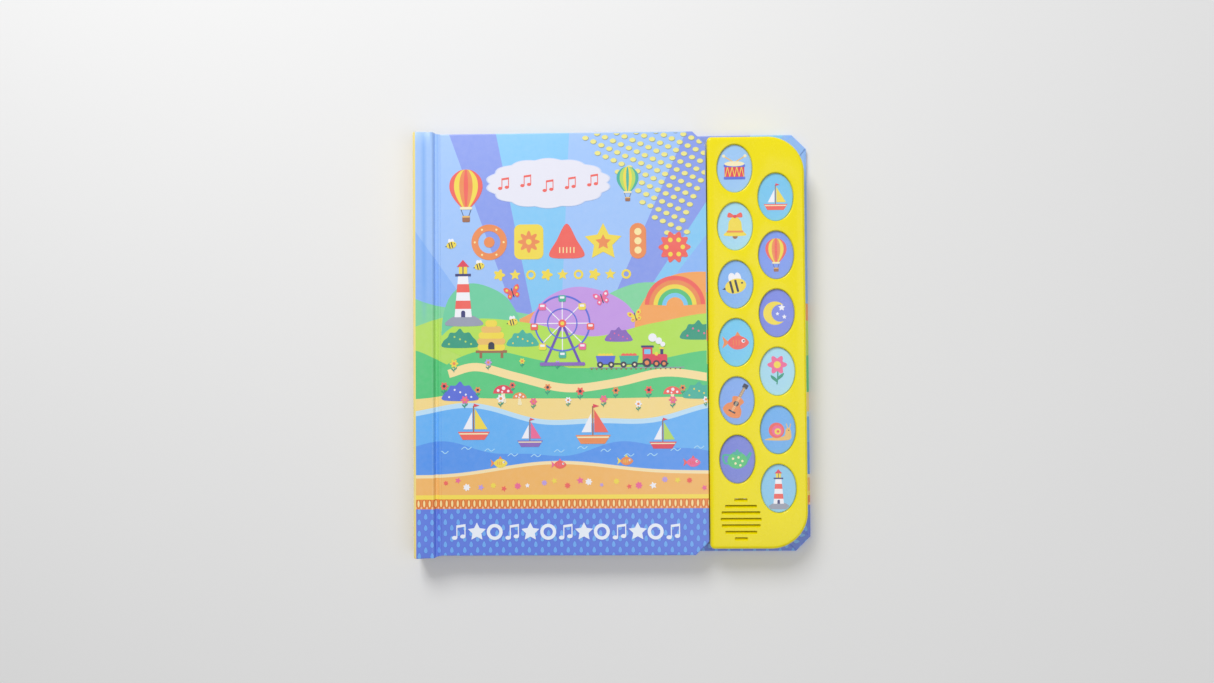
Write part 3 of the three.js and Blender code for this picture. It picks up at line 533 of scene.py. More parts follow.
def folded(path, thickness):
    """Profile of a thin sheet: a path in X and Z with half its thickness laid to each side."""
    path = np.asarray(path, float)
    way = np.gradient(path, axis=0)
    way = way / np.linalg.norm(way, axis=1)[:, None]
    side = np.column_stack([-way[:, 1], way[:, 0]]) * thickness / 2
    return np.vstack([path - side, (path + side)[::-1]])


def at(outline, z):
    """An outline lifted to a height."""
    outline = np.asarray(outline, float)
    return np.column_stack([outline, np.full(len(outline), z)])


def rounded(corners, radii, steps=6):
    """Convex outline with each corner replaced by an arc tangent to its two sides.

    Points along the chord between the two tangent points are pushed out from the circle's centre, which
    lies on the corner's bisector, until each is one radius away.
    """
    corners = np.asarray(corners, float)
    before, after = np.roll(corners, 1, axis=0), np.roll(corners, -1, axis=0)
    to_before = (before - corners) / np.linalg.norm(before - corners, axis=1)[:, None]
    to_after = (after - corners) / np.linalg.norm(after - corners, axis=1)[:, None]
    half = np.arccos(np.clip((to_before * to_after).sum(axis=1), -1, 1)) / 2
    reach = (np.asarray(radii, float) / np.tan(half))[:, None]
    start, end = corners + to_before * reach, corners + to_after * reach
    turn = np.linspace(0, 1, steps + 1)[None, :, None]
    bisector = to_before + to_after
    bisector = bisector / np.linalg.norm(bisector, axis=1)[:, None]
    centre = (corners + bisector * (np.asarray(radii, float) / np.sin(half))[:, None])[:, None]
    chord = start[:, None] * (1 - turn) + end[:, None] * turn - centre
    length = np.linalg.norm(chord, axis=2, keepdims=True)
    radius = np.asarray(radii, float)[:, None, None]
    arcs = centre + chord / length * radius
    return arcs.reshape(-1, 2)


def cut_corners(left, right, half, cut, inset, radius=0.8):
    """Cover outline: a rectangle whose right corners are cut, drawn in by an inset."""
    x0, x1, y1 = left + inset, right - inset, half - inset
    c = cut - inset * (2 - math.sqrt(2))
    corners = [(x0, -y1), (x1 - c, -y1), (x1, c - y1), (x1, y1 - c), (x1 - c, y1), (x0, y1)]
    return rounded(corners, [radius * 0.5] + [radius] * 4 + [radius * 0.5], 4)


def wrapped_board(left, right, half, cut, bottom, top, edge, holes=()):
    """Board with round wrapped edges: its outline drawn in along a quarter circle at both faces."""
    angle = np.linspace(0, math.pi / 2, 6)
    inset, lift = edge * (1 - np.sin(angle)), edge * (1 - np.cos(angle))
    rings = [at(cut_corners(left, right, half, cut, i), bottom + l) for i, l in zip(inset, lift)]
    rings += [at(cut_corners(left, right, half, cut, i), top - l) for i, l in zip(inset[::-1], lift[::-1])]
    if not holes:
        return stack(rings)
    parts = [stack(rings, caps=False), flipped(plate(rings[0][:, :2], holes, bottom)),
             plate(rings[-1][:, :2], holes, top)]
    parts += [flipped(stack([at(hole, bottom), at(hole, top)], caps=False)) for hole in holes]
    return joined(*parts)


def tray_opening():
    """Opening in the back cover for the battery tray, a little wider than the door."""
    low, high = span("battery_door")
    gap = 2.25
    x0, y0, x1, y1 = low[0] - gap, low[1] - gap, high[0] + gap, high[1] + gap
    return rounded([(x0, y0), (x1, y0), (x1, y1), (x0, y1)], [3.9] * 4, 8)


def spine_profile():
    """Spine and its shoulder in X and Z: round long edges, and a top that dips a little between them."""
    face, inner, edge = SPINE_FACE, PAGES_LOW[0], SHOULDER_EDGE
    low, top, seat = SPINE_LOW[2], SPINE_HIGH[2], PAGES_HIGH[2]
    outer_round, inner_round, dip = 2.5, 1.0, 0.3
    foot = oval(face + outer_round, low + outer_round, outer_round, None, 9, math.pi, 1.5 * math.pi)
    lip = oval(edge - inner_round, top - inner_round, inner_round, None, 7, 0, math.pi / 2)
    crown = oval(face + outer_round, top - outer_round, outer_round, None, 9, math.pi / 2, math.pi)
    share = np.linspace(0, 1, 14)[1:-1]
    flat = np.column_stack([lip[-1, 0] + (crown[0, 0] - lip[-1, 0]) * share,
                            top - dip * np.sin(math.pi * share) ** 2])
    return np.vstack([foot, [(inner, low), (inner, seat), (edge, seat)], lip, flat, crown])


def spine_reach(x):
    """Head end of the spine: full as far as the pages, then drawn in half a millimetre at the groove."""
    return np.interp(x, [PAGES_LOW[0], SHOULDER_EDGE], [SPINE_HIGH[1], SPINE_HIGH[1] - 0.5])


def groove_reach(x):
    """Head end of the groove paper: from the shoulder's end down to the front cover's, in a soft step."""
    share = np.clip((x - SHOULDER_EDGE) / (COVER_LOW[0] - SHOULDER_EDGE), 0, 1)
    return SPINE_HIGH[1] - 0.5 - (SPINE_HIGH[1] - 0.55 - HALF) * share * share * (3 - 2 * share)


def front_groove():
    """Path of the wrap over the shoulder's edge, down into the hinge groove and up on the cover."""
    top, width = SPINE_HIGH[2], COVER_LOW[0] - SHOULDER_EDGE
    return curve_through([(SHOULDER_EDGE - 1.5, top + 0.02), (SHOULDER_EDGE - 0.5, top + 0.02),
                          (SHOULDER_EDGE + 0.25, top - 0.6), (SHOULDER_EDGE + 0.3 * width, COVER_TOP - 0.9),
                          (SHOULDER_EDGE + 0.55 * width, COVER_TOP - 1.1),
                          (SHOULDER_EDGE + 0.85 * width, COVER_TOP - 0.6), (COVER_LOW[0] + 0.35, COVER_TOP),
                          (COVER_LOW[0] + 1.2, COVER_TOP + 0.05)])


def back_groove():
    """Path of the wrap from the spine's lower edge over the gap to the back cover."""
    inner, left = PAGES_LOW[0], BACK_LOW[0]
    middle = (inner + left) / 2
    return curve_through([(inner - 1.6, 0.72), (inner - 0.4, 0.75), (middle, 1.5), (left + 0.2, 0.75),
                          (left + 0.9, 0.25)])


def corner_fold(side, cut):
    """Turned-in paper at a cut corner of the back cover: a thin flap from the cut to the module.

    One side is the cut's line, the other an arc round the module's corner, joined into one outline.
    """
    x0, y0 = BACK_HIGH[0] - cut, HALF - 0.9
    x1, y1 = BACK_HIGH[0] - 0.9, HALF - cut
    corner = MODULE_CORNER
    cx, cy = MODULE_HIGH[0] - corner, MODULE_HIGH[1] - corner
    share = np.linspace(0, 1, 13)[:, None]
    outer = np.array([[x0, y0]]) * (1 - share) + np.array([[x1, y1]]) * share
    angle = np.linspace(math.radians(62), math.radians(28), 13)
    inner = np.column_stack([cx + (corner + 0.3) * np.cos(angle), cy + (corner + 0.3) * np.sin(angle)])
    rim = np.vstack([outer, inner[::-1]])[::-1]
    if side < 0:
        rim = (rim * np.array([1, -1]))[::-1]
    base, thick = SHEET_TOP, 0.7
    return stack([at(rim, base - 0.1), at(rim, base + thick * 0.6), at(drawn_in(rim, 0.25), base + thick)])


# Outlines of printed motifs, in units of the motif's own size

def oval(x=0.0, y=0.0, rx=1.0, ry=None, count=36, start=0.0, end=TURN):
    """Oval, or the part of it between two angles closed by its chord."""
    angle = np.linspace(start, end, count, endpoint=end - start < TURN - 1e-6)
    return np.column_stack([x + rx * np.cos(angle), y + (rx if ry is None else ry) * np.sin(angle)])


def spline(a, b, c, d, count):
    """Uniform Catmull-Rom curve from b to c: a cubic whose end slopes are half of c - a and of d - b."""
    a, b, c, d = a[:, None], b[:, None], c[:, None], d[:, None]
    t = np.linspace(0, 1, count, endpoint=False)[None, :, None]
    square, cube = 2 * a - 5 * b + 4 * c - d, 3 * b - a - 3 * c + d
    return (0.5 * (2 * b + (c - a) * t + square * t ** 2 + cube * t ** 3)).reshape(-1, 2)


def flow(*points, count=10):
    """Smooth closed outline through points."""
    p = np.asarray(points, float)
    return spline(np.roll(p, 1, 0), p, np.roll(p, -1, 0), np.roll(p, -2, 0), count)


def straight(*points):
    """Outline with straight sides."""
    return np.asarray(points, float)


def bar(x0, y0, x1, y1, width):
    """Straight stroke with round ends."""
    start, end = np.array([x0, y0], float), np.array([x1, y1], float)
    heading = math.atan2(*(end - start)[::-1])
    angle = np.linspace(-math.pi / 2, math.pi / 2, 7)
    tip = np.column_stack([np.cos(heading + angle), np.sin(heading + angle)]) * width / 2
    return np.vstack([end + tip, start - tip])


def curve_through(points, count=8):
    """Open smooth curve through points, carried on straight past both ends to work out the end slopes."""
    p = np.asarray(points, float)
    p = np.vstack([2 * p[0] - p[1], p, 2 * p[-1] - p[-2]])
    return np.vstack([spline(p[:-3], p[1:-2], p[2:-1], p[3:], count), p[-2]])


def stroke(points, width):
    """Curved stroke: the curve through points, widened to both sides."""
    return folded(curve_through(points), width)


def arc_band(x, y, inner, outer, start=0.0, end=math.pi, count=30):
    """Part of a ring between two radii and two angles."""
    return np.vstack([oval(x, y, outer, None, count, start, end),
                      oval(x, y, inner, None, count, start, end)[::-1]])


def polar(x, y, reach, angle):
    """Points at a reach and an angle about a middle."""
    return np.column_stack([x + reach * np.cos(angle), y + reach * np.sin(angle)])


def hoop(inner, outer, count):
    """Whole ring about the motif's middle, left open by a hair so that its outline is one line."""
    return arc_band(0, 0, inner, outer, 0, TURN - 0.001, count)


def rosette(x=0.0, y=0.0, radius=0.8, petals=6, depth=0.2, count=60):
    """Petalled outline: the radius swells and shrinks with the cosine of the angle times the petals."""
    angle = np.linspace(0, TURN, count, endpoint=False)
    return polar(x, y, radius * (1 + depth * np.cos(petals * angle)), angle)


def crescent(outer, inner, offset):
    """Moon: the outer circle less an inner one moved right, cut where the two circles meet."""
    x = (outer ** 2 - inner ** 2 + offset ** 2) / (2 * offset)
    y = math.sqrt(outer ** 2 - x ** 2)
    a, b = math.atan2(y, x), math.atan2(y, x - offset)
    hollow = oval(offset, 0, inner, None, 30, b, TURN - b)[::-1]
    return np.vstack([oval(0, 0, outer, None, 30, a, TURN - a), hollow[1:-1]])


def star(x, y, radius, points=5, inner=0.5, turn=0.0):
    """Star: a polygon whose corners lie on two circles in turn."""
    angle = turn + math.pi / 2 + np.arange(2 * points) * math.pi / points
    return polar(x, y, np.where(np.arange(2 * points) % 2 == 0, radius, radius * inner), angle)


def tile(x0, y0, x1, y1, radius=0.0):
    """Upright rectangle, with round corners where a radius is given."""
    corners = [(x0, y0), (x1, y0), (x1, y1), (x0, y1)]
    return rounded(corners, [radius] * 4, 4) if radius else straight(*corners)


def arch(x, y, width, height):
    """Door or window with a round head, standing on a base line."""
    head = oval(x, y + height - width / 2, width / 2, None, 14, 0, math.pi)
    return np.vstack([[(x - width / 2, y), (x + width / 2, y)], head])


def clipped(outline, window):
    """The part of an outline inside a convex window, cut side by side.

    For each side of the window, points behind it are dropped and the crossings put in their place.
    """
    for start, end in zip(window, np.roll(window, -1, axis=0)):
        if len(outline) < 3:
            break
        side = end - start
        following = np.roll(outline, -1, axis=0)
        reach = side[0] * (outline[:, 1] - start[1]) - side[1] * (outline[:, 0] - start[0])
        ahead = np.roll(reach, -1)
        share = np.divide(reach, reach - ahead, out=np.zeros_like(reach), where=reach != ahead)
        crossing = outline + (following - outline) * share[:, None]
        pairs = np.stack([outline, crossing], axis=1).reshape(-1, 2)
        keep = np.stack([reach >= 0, (reach >= 0) != (ahead >= 0)], axis=1).ravel()
        outline = pairs[keep]
    return outline


class Ink:
    """Printed shapes on one sheet, each a thin closed prism on its own layer."""

    step = 0.012

    def __init__(self, name, body, sheet, window, slot="cover_wrap", shift=0.0):
        self.name, self.body, self.sheet, self.slot, self.shift = name, body, sheet, slot, shift
        self.window = np.asarray(window, float)
        self.points, self.faces, self.tones = [], [], []
        self.count = 0
        self.level = 0

    def motif(self, x, y, size, level, turn=0.0):
        """Start a motif at a place, size and layer."""
        self.origin, self.size, self.turn = np.array([x + self.shift, y], float), size, turn
        self.level = level
        return self

    def add(self, hue, *outlines):
        """Print outlines of the motif in one colour, on the next layer up."""
        c, s = math.cos(self.turn), math.sin(self.turn)
        self.level += 1
        for order, outline in enumerate(outlines):
            shape = np.asarray(outline) @ np.array([[c, s], [-s, c]]) * self.size + self.origin
            x, y = shape[:, 0], shape[:, 1]
            if (x * np.roll(y, -1) - y * np.roll(x, -1)).sum() < 0:
                shape = shape[::-1]
            shape = clipped(shape, self.window)
            count = len(shape)
            if count < 3:
                continue
            height = self.level + 0.6 * order / len(outlines)
            points, faces = stack([at(shape, self.sheet), at(shape, self.sheet + height * self.step)])
            self.points.append(points)
            self.faces += [[self.count + i for i in face] for face in faces]
            self.tones += [hue] * len(faces)
            self.count += len(points)
        return self

    def done(self, finish):
        """Turn the printed shapes into one piece."""
        return put(self.name, np.vstack(self.points), self.faces, self.body, finish,
                   tones=self.tones)


# Motifs

def balloon(ink, x, y, size, level, hues):
    """Striped hot-air balloon with a small basket."""
    ink.motif(x, y, size, level)
    ink.add(DARK, bar(-0.3, -0.9, -0.14, -1.35, 0.03), bar(0.3, -0.9, 0.14, -1.35, 0.03))
    skin = flow((0, -1), (0.55, -0.55), (0.86, 0.05), (0.8, 0.62), (0.42, 1.02), (0, 1.12),
                (-0.42, 1.02), (-0.8, 0.62), (-0.86, 0.05), (-0.55, -0.55))
    ink.add(hues[0], skin)
    for share, hue in ((0.72, hues[1]), (0.4, hues[2]), (0.13, hues[0])):
        ink.add(hue, skin * np.array([share, 1.0]))
    ink.add(CREAM, tile(-0.32, -1.0, 0.32, -0.86, 0.05))
    ink.add(BROWN, tile(-0.2, -1.66, 0.2, -1.33, 0.06))
    ink.add(SAND, tile(-0.2, -1.42, 0.2, -1.34))


def sailboat(ink, x, y, size, level, hull, sail):
    """Sailing boat with two sails and a pennant."""
    ink.motif(x, y, size, level)
    ink.add(BROWN, bar(0, -0.3, 0, 1.25, 0.07))
    ink.add(sail, straight((0.08, -0.15), (0.85, -0.15), (0.08, 1.1)))
    ink.add(WHITE, straight((-0.08, -0.15), (-0.08, 0.9), (-0.62, -0.15)))
    ink.add(RED, straight((0.02, 1.18), (0.36, 1.28), (0.02, 1.4)))
    ink.add(hull, straight((-0.95, -0.3), (0.98, -0.3), (0.66, -0.78), (-0.66, -0.78)))
    ink.add(CREAM, tile(-0.86, -0.46, 0.88, -0.38))


def lighthouse(ink, x, y, size, level):
    """Banded lighthouse on a rock."""
    ink.motif(x, y, size, level)
    ink.add(GREY, flow((-0.8, -1.5), (0.9, -1.5), (0.62, -1.1), (0, -0.98), (-0.6, -1.14)))
    ink.add(WHITE, straight((-0.42, -1.1), (0.42, -1.1), (0.24, 0.9), (-0.24, 0.9)))
    ink.add(CORAL, straight((-0.39, -0.7), (0.39, -0.7), (0.35, -0.3), (-0.35, -0.3)),
            straight((-0.32, 0.1), (0.32, 0.1), (0.28, 0.5), (-0.28, 0.5)))
    ink.add(NAVY, tile(-0.38, 0.88, 0.38, 1.0), arch(0, -1.1, 0.2, 0.32))
    ink.add(YELLOW, tile(-0.2, 1.0, 0.2, 1.34))
    ink.add(NAVY, bar(0, 1.0, 0, 1.34, 0.05))
    ink.add(RED, straight((-0.3, 1.34), (0.3, 1.34), (0, 1.68)))


def blossom(ink, x, y, size, level, hue, heart=YELLOW):
    """Flower: round petals about a heart, on a stem with two leaves."""
    ink.motif(x, y, size, level)
    ink.add(PINE, stroke([(0, 0), (0.05, -0.9), (-0.04, -1.9)], 0.12))
    ink.add(PINE, flow((0, -1.5), (0.5, -1.15), (0.62, -0.8), (0.14, -1.1)),
            flow((0, -1.7), (-0.52, -1.35), (-0.62, -1.0), (-0.12, -1.3)))
    ink.add(hue, rosette(0, 0, 0.78, 6, 0.22))
    ink.add(heart, oval(0, 0, 0.34, None, 18))


def toadstool(ink, x, y, size, level, hue):
    """Toadstool with a spotted cap."""
    ink.motif(x, y, size, level)
    ink.add(CREAM, flow((-0.26, -0.9), (0.3, -0.9), (0.18, -0.2), (0.22, 0.2), (-0.22, 0.2), (-0.18, -0.2)))
    ink.add(hue, oval(0, 0, 1.0, 0.85, 26, 0, math.pi))
    ink.add(WHITE, oval(-0.5, 0.3, 0.14), oval(0.05, 0.52, 0.18), oval(0.52, 0.24, 0.13),
            oval(-0.1, 0.16, 0.1))


def fish(ink, x, y, size, level, hue, fin):
    """Round fish seen from the side."""
    ink.motif(x, y, size, level)
    ink.add(fin, straight((-0.7, 0), (-1.3, 0.55), (-1.15, 0), (-1.3, -0.5)),
            straight((-0.3, 0.4), (0.4, 0.4), (0, 0.95)))
    ink.add(hue, flow((-0.85, 0), (-0.3, 0.55), (0.45, 0.5), (0.98, 0), (0.45, -0.5), (-0.3, -0.55)))
    ink.add(WHITE, oval(0.5, 0.14, 0.16, None, 16))
    ink.add(DARK, oval(0.54, 0.14, 0.08, None, 12))
    ink.add(fin, *[bar(-0.1 + 0.24 * i, 0.2, -0.1 + 0.24 * i, -0.2, 0.07) for i in range(-1, 2)])


def bee(ink, x, y, size, level):
    """Striped bee with two wings."""
    ink.motif(x, y, size, level, 0.25)
    ink.add(WHITE, oval(-0.1, 0.62, 0.3, 0.48, 20), oval(0.36, 0.6, 0.24, 0.42, 20))
    ink.add(YELLOW, oval(0, 0, 0.85, 0.58, 30))
    ink.add(DARK, *[tile(-0.42 + 0.42 * i, -0.5, -0.24 + 0.42 * i, 0.5, 0.08) for i in range(2)])
    ink.add(DARK, straight((-0.82, 0.1), (-1.08, 0), (-0.82, -0.1)), oval(0.56, 0.12, 0.08, None, 12))


def drum(ink, x, y, size, level):
    """Drum with laced sides and two sticks."""
    ink.motif(x, y, size, level)
    ink.add(SAND, bar(-0.9, 1.15, 0.1, 0.55, 0.1), bar(0.9, 1.15, -0.1, 0.55, 0.1))
    ink.add(CREAM, oval(-0.92, 1.18, 0.13), oval(0.92, 1.18, 0.13))
    ink.add(RED, tile(-0.85, -0.75, 0.85, 0.42, 0.12))
    ink.add(YELLOW, *[bar(-0.8 + 0.4 * i, -0.6, -0.6 + 0.4 * i, 0.24, 0.06) for i in range(4)])
    ink.add(YELLOW, *[bar(-0.4 + 0.4 * i, -0.6, -0.6 + 0.4 * i, 0.24, 0.06) for i in range(4)])
    ink.add(COBALT, tile(-0.92, -0.85, 0.92, -0.62, 0.08), tile(-0.92, 0.22, 0.92, 0.45, 0.08))
    ink.add(CREAM, oval(0, 0.5, 0.86, 0.22, 30))


def bell(ink, x, y, size, level):
    """Hand bell with a bow."""
    ink.motif(x, y, size, level)
    ink.add(BROWN, oval(0, -0.85, 0.22))
    ink.add(YELLOW, flow((-0.9, -0.78), (0.9, -0.78), (0.62, -0.3), (0.5, 0.45), (0, 0.88),
                         (-0.5, 0.45), (-0.62, -0.3)))
    ink.add(ORANGE, tile(-0.72, -0.52, 0.72, -0.36, 0.06))
    ink.add(CORAL, flow((0, 0.85), (0.5, 1.2), (0.62, 0.8)), flow((0, 0.85), (-0.5, 1.2), (-0.62, 0.8)))
    ink.add(RED, oval(0, 0.86, 0.15))


def snail(ink, x, y, size, level):
    """Snail with a coiled shell."""
    ink.motif(x, y, size, level)
    ink.add(SAND, flow((-1.1, -0.72), (0.9, -0.72), (1.12, -0.1), (0.95, 0.3), (0.68, 0.18),
                       (0.5, -0.4), (-0.4, -0.5)))
    ink.add(SAND, bar(0.85, 0.2, 0.72, 0.66, 0.07), bar(0.98, 0.2, 1.08, 0.64, 0.07))
    ink.add(CORAL, oval(-0.12, 0.1, 0.66))
    ink.add(PINK, oval(-0.06, 0.06, 0.46))
    ink.add(YELLOW, oval(-0.02, 0.0, 0.27))
    ink.add(CORAL, oval(0.0, 0.0, 0.12))
    ink.add(DARK, oval(0.92, 0.1, 0.05, None, 10))


def guitar(ink, x, y, size, level):
    """Small guitar, held upright."""
    ink.motif(x, y, size, level, -0.5)
    ink.add(BROWN, tile(-0.11, 0.1, 0.11, 1.25))
    ink.add(DARK, tile(-0.2, 1.2, 0.2, 1.55, 0.06))
    ink.add(ORANGE, flow((0, -1.2), (0.68, -0.92), (0.62, -0.42), (0.36, -0.12), (0.46, 0.28), (0, 0.46),
                         (-0.46, 0.28), (-0.36, -0.12), (-0.62, -0.42), (-0.68, -0.92)))
    ink.add(DARK, oval(0, -0.1, 0.2), tile(-0.28, -0.82, 0.28, -0.7))
    ink.add(CREAM, *[bar(-0.06 + 0.06 * i, -0.74, -0.06 + 0.06 * i, 1.25, 0.02) for i in range(3)])


def teapot(ink, x, y, size, level):
    """Teapot with spots."""
    ink.motif(x, y, size, level)
    ink.add(TEAL, stroke([(-0.6, 0.35), (-1.15, 0.3), (-1.05, -0.3), (-0.6, -0.35)], 0.16))
    ink.add(TEAL, straight((0.5, -0.1), (1.05, 0.62), (1.22, 0.5), (0.72, -0.5)))
    ink.add(GREEN, oval(0, -0.1, 0.82, 0.68, 32))
    ink.add(TEAL, oval(0, 0.5, 0.42, 0.14, 20), oval(0, 0.7, 0.12))
    ink.add(CREAM, *[oval(cx, cy, 0.1) for cx, cy in (
        (-0.35, 0.05), (0.1, 0.15), (0.42, -0.15), (-0.15, -0.35), (0.25, -0.5))])


def moon(ink, x, y, size, level):
    """Crescent moon with stars."""
    ink.motif(x, y, size, level)
    ink.add(YELLOW, crescent(0.95, 0.7, 0.42))
    ink.add(WHITE, star(0.55, 0.45, 0.3), star(0.75, -0.3, 0.2), star(0.2, -0.05, 0.16))


def note(ink, x, y, size, level, hue):
    """Pair of quavers joined by a beam."""
    ink.motif(x, y, size, level)
    ink.add(hue, oval(-0.5, -0.65, 0.3, 0.22, 18), oval(0.42, -0.5, 0.3, 0.22, 18))
    ink.add(hue, bar(-0.25, -0.62, -0.25, 0.62, 0.12), bar(0.66, -0.48, 0.66, 0.78, 0.12))
    ink.add(hue, straight((-0.31, 0.45), (0.72, 0.6), (0.72, 0.88), (-0.31, 0.73)))


def butterfly(ink, x, y, size, level, hue, spot):
    """Butterfly with four spotted wings."""
    ink.motif(x, y, size, level, 0.3)
    ink.add(hue, flow((0.06, 0.1), (0.5, 0.75), (1.0, 0.8), (0.95, 0.25), (0.4, -0.05)),
            flow((-0.06, 0.1), (-0.5, 0.75), (-1.0, 0.8), (-0.95, 0.25), (-0.4, -0.05)))
    ink.add(hue, flow((0.06, 0.0), (0.6, -0.1), (0.8, -0.5), (0.45, -0.8), (0.1, -0.35)),
            flow((-0.06, 0.0), (-0.6, -0.1), (-0.8, -0.5), (-0.45, -0.8), (-0.1, -0.35)))
    ink.add(spot, oval(0.65, 0.45, 0.17, None, 16), oval(-0.65, 0.45, 0.17, None, 16),
            oval(0.48, -0.42, 0.13, None, 14), oval(-0.48, -0.42, 0.13, None, 14))
    ink.add(DARK, bar(0, -0.6, 0, 0.5, 0.12))


def big_wheel(ink, x, y, size, level):
    """Fairground wheel with spokes and eight coloured cabins."""
    ink.motif(x, y, size, level)
    ink.add(VIOLET, bar(-0.62, -1.42, 0, 0, 0.09), bar(0.62, -1.42, 0, 0, 0.09))
    ink.add(COBALT, hoop(0.94, 1.0, 80))
    angles = np.arange(8) * TURN / 8
    for a in angles[:4]:
        end_x, end_y = 0.94 * math.cos(a), 0.94 * math.sin(a)
        ink.add(WHITE, bar(-end_x, -end_y, end_x, end_y, 0.035))
    ink.add(COBALT, hoop(0.5, 0.54, 60))
    ink.add(CORAL, oval(0, 0, 0.14, None, 24))
    ink.add(YELLOW, oval(0, 0, 0.07, None, 18))
    for i, a in enumerate(angles):
        cx, cy = math.cos(a), math.sin(a) - 0.1
        ink.add((CORAL, YELLOW, TEAL, PINK)[i % 4], tile(cx - 0.13, cy - 0.13, cx + 0.13, cy + 0.1, 0.05))
        ink.add(WHITE, tile(cx - 0.08, cy - 0.02, cx + 0.08, cy + 0.06, 0.02))
    ink.add(PLUM, tile(-0.8, -1.5, 0.8, -1.38, 0.04))


def train(ink, x, y, size, level):
    """Steam train with two wagons on a track."""
    ink.motif(x, y, size, level)
    ink.add(BROWN, *[tile(-3.9 + 0.4 * i, -0.82, -3.78 + 0.4 * i, -0.66) for i in range(19)])
    ink.add(GREY, tile(-4.0, -0.7, 3.7, -0.63))
    ink.add(DARK, tile(-3.4, -0.42, 2.4, -0.3))
    for i, (hue, load) in enumerate(((COBALT, YELLOW), (TEAL, CORAL))):
        left = -3.5 + 1.9 * i
        ink.add(load, *[oval(left + 0.35 + 0.3 * k, 0.3, 0.2, None, 16) for k in range(4)])
        ink.add(hue, straight((left, 0.3), (left + 1.6, 0.3), (left + 1.45, -0.36), (left + 0.15, -0.36)))
    ink.add(RED, tile(0.3, -0.36, 1.1, 1.0, 0.06), tile(1.0, -0.36, 2.3, 0.42, 0.14))
    ink.add(NAVY, tile(0.18, 0.96, 1.22, 1.12, 0.05), tile(1.75, 0.4, 1.98, 0.86))
    ink.add(YELLOW, tile(1.66, 0.82, 2.07, 0.96, 0.04), oval(1.42, 0.44, 0.15, 0.15, 16))
    ink.add(SKY, tile(0.44, 0.42, 0.96, 0.82, 0.05))
    for cx in (-3.15, -2.25, -1.25, -0.35):
        ink.add(DARK, oval(cx, -0.42, 0.25, None, 22))
        ink.add(CREAM, oval(cx, -0.42, 0.1, None, 14))
    for cx, radius in ((0.65, 0.36), (1.42, 0.28), (2.04, 0.28)):
        ink.add(DARK, oval(cx, -0.64 + radius, radius, None, 24))
        ink.add(ORANGE, oval(cx, -0.64 + radius, radius * 0.5, None, 18))
    ink.add(WHITE, oval(1.95, 1.22, 0.2, None, 18), oval(1.62, 1.5, 0.27, None, 20),
            oval(1.12, 1.76, 0.34, None, 22))


def hive(ink, x, y, size, level):
    """Woven beehive on a stand."""
    ink.motif(x, y, size, level)
    ink.add(BROWN, tile(-1.05, -1.05, 1.05, -0.88), tile(-0.8, -1.4, -0.62, -1.0),
            tile(0.62, -1.4, 0.8, -1.0))
    for i, half in enumerate((0.92, 0.95, 0.86, 0.68, 0.4)):
        low = -0.9 + 0.4 * i
        ink.add((YELLOW, SAND)[i % 2], tile(-half, low, half, low + 0.44, 0.2))
    ink.add(DARK, arch(0, -0.82, 0.42, 0.5))


def bush(ink, x, y, size, level, hue, dots):
    """Round bush made of one scalloped outline, with berries."""
    ink.motif(x, y, size, level)
    ink.add(hue, flow((-1.2, -0.5), (1.2, -0.5), (1.25, -0.05), (0.95, 0.3), (0.7, 0.62), (0.3, 0.6),
                      (0, 0.92), (-0.35, 0.62), (-0.75, 0.6), (-0.95, 0.25), (-1.28, -0.05), count=6))
    ink.add(dots, *[oval(0.42 * i - 0.84, 0.18 * ((i * 7) % 4) - 0.25, 0.075, None, 10) for i in range(5)])


KEY_DESIGNS = [
    ("9cc8f6", lambda ink, x, y, l: drum(ink, x, y - 0.6, 7.0, l)),
    ("79c8f2", lambda ink, x, y, l: sailboat(ink, x, y - 2.0, 7.4, l, CORAL, YELLOW)),
    ("a6daf3", lambda ink, x, y, l: bell(ink, x, y, 7.0, l)),
    ("7f9df0", lambda ink, x, y, l: balloon(ink, x, y + 2.0, 7.2, l, (CORAL, YELLOW, ORANGE))),
    ("86b7f4", lambda ink, x, y, l: bee(ink, x, y - 1.0, 7.6, l)),
    ("7c8be6", lambda ink, x, y, l: moon(ink, x - 1.0, y, 7.4, l)),
    ("76cbf4", lambda ink, x, y, l: fish(ink, x + 0.8, y, 7.0, l, CORAL, ORANGE)),
    ("a9dcf2", lambda ink, x, y, l: blossom(ink, x, y + 4.0, 6.2, l, PINK)),
    ("85aef2", lambda ink, x, y, l: guitar(ink, x, y - 1.0, 8.0, l)),
    ("6fb2f2", lambda ink, x, y, l: snail(ink, x, y - 1.0, 7.0, l)),
    ("7a86dc", lambda ink, x, y, l: teapot(ink, x, y, 7.2, l)),
    ("8ecbf0", lambda ink, x, y, l: lighthouse(ink, x, y - 1.0, 7.4, l)),
]


def plaque(ink):
    """White scalloped plaque with a row of coral notes."""
    angle = np.linspace(0, TURN, 160, endpoint=False)
    reach = 1 + 0.07 * np.abs(np.sin(angle * 7))
    edge = np.column_stack([35 * reach * np.cos(angle), 14 * reach * np.sin(angle)])
    ink.motif(-40, 97, 1, 12).add(tone("d2dcf6"), edge * 1.025)
    ink.add(tone("e9e9f6"), edge)
    for i in range(5):
        note(ink, -67 + 13.5 * i, 97 + 1.8 * math.sin(2.1 * i), 4.4, 15, CORAL)


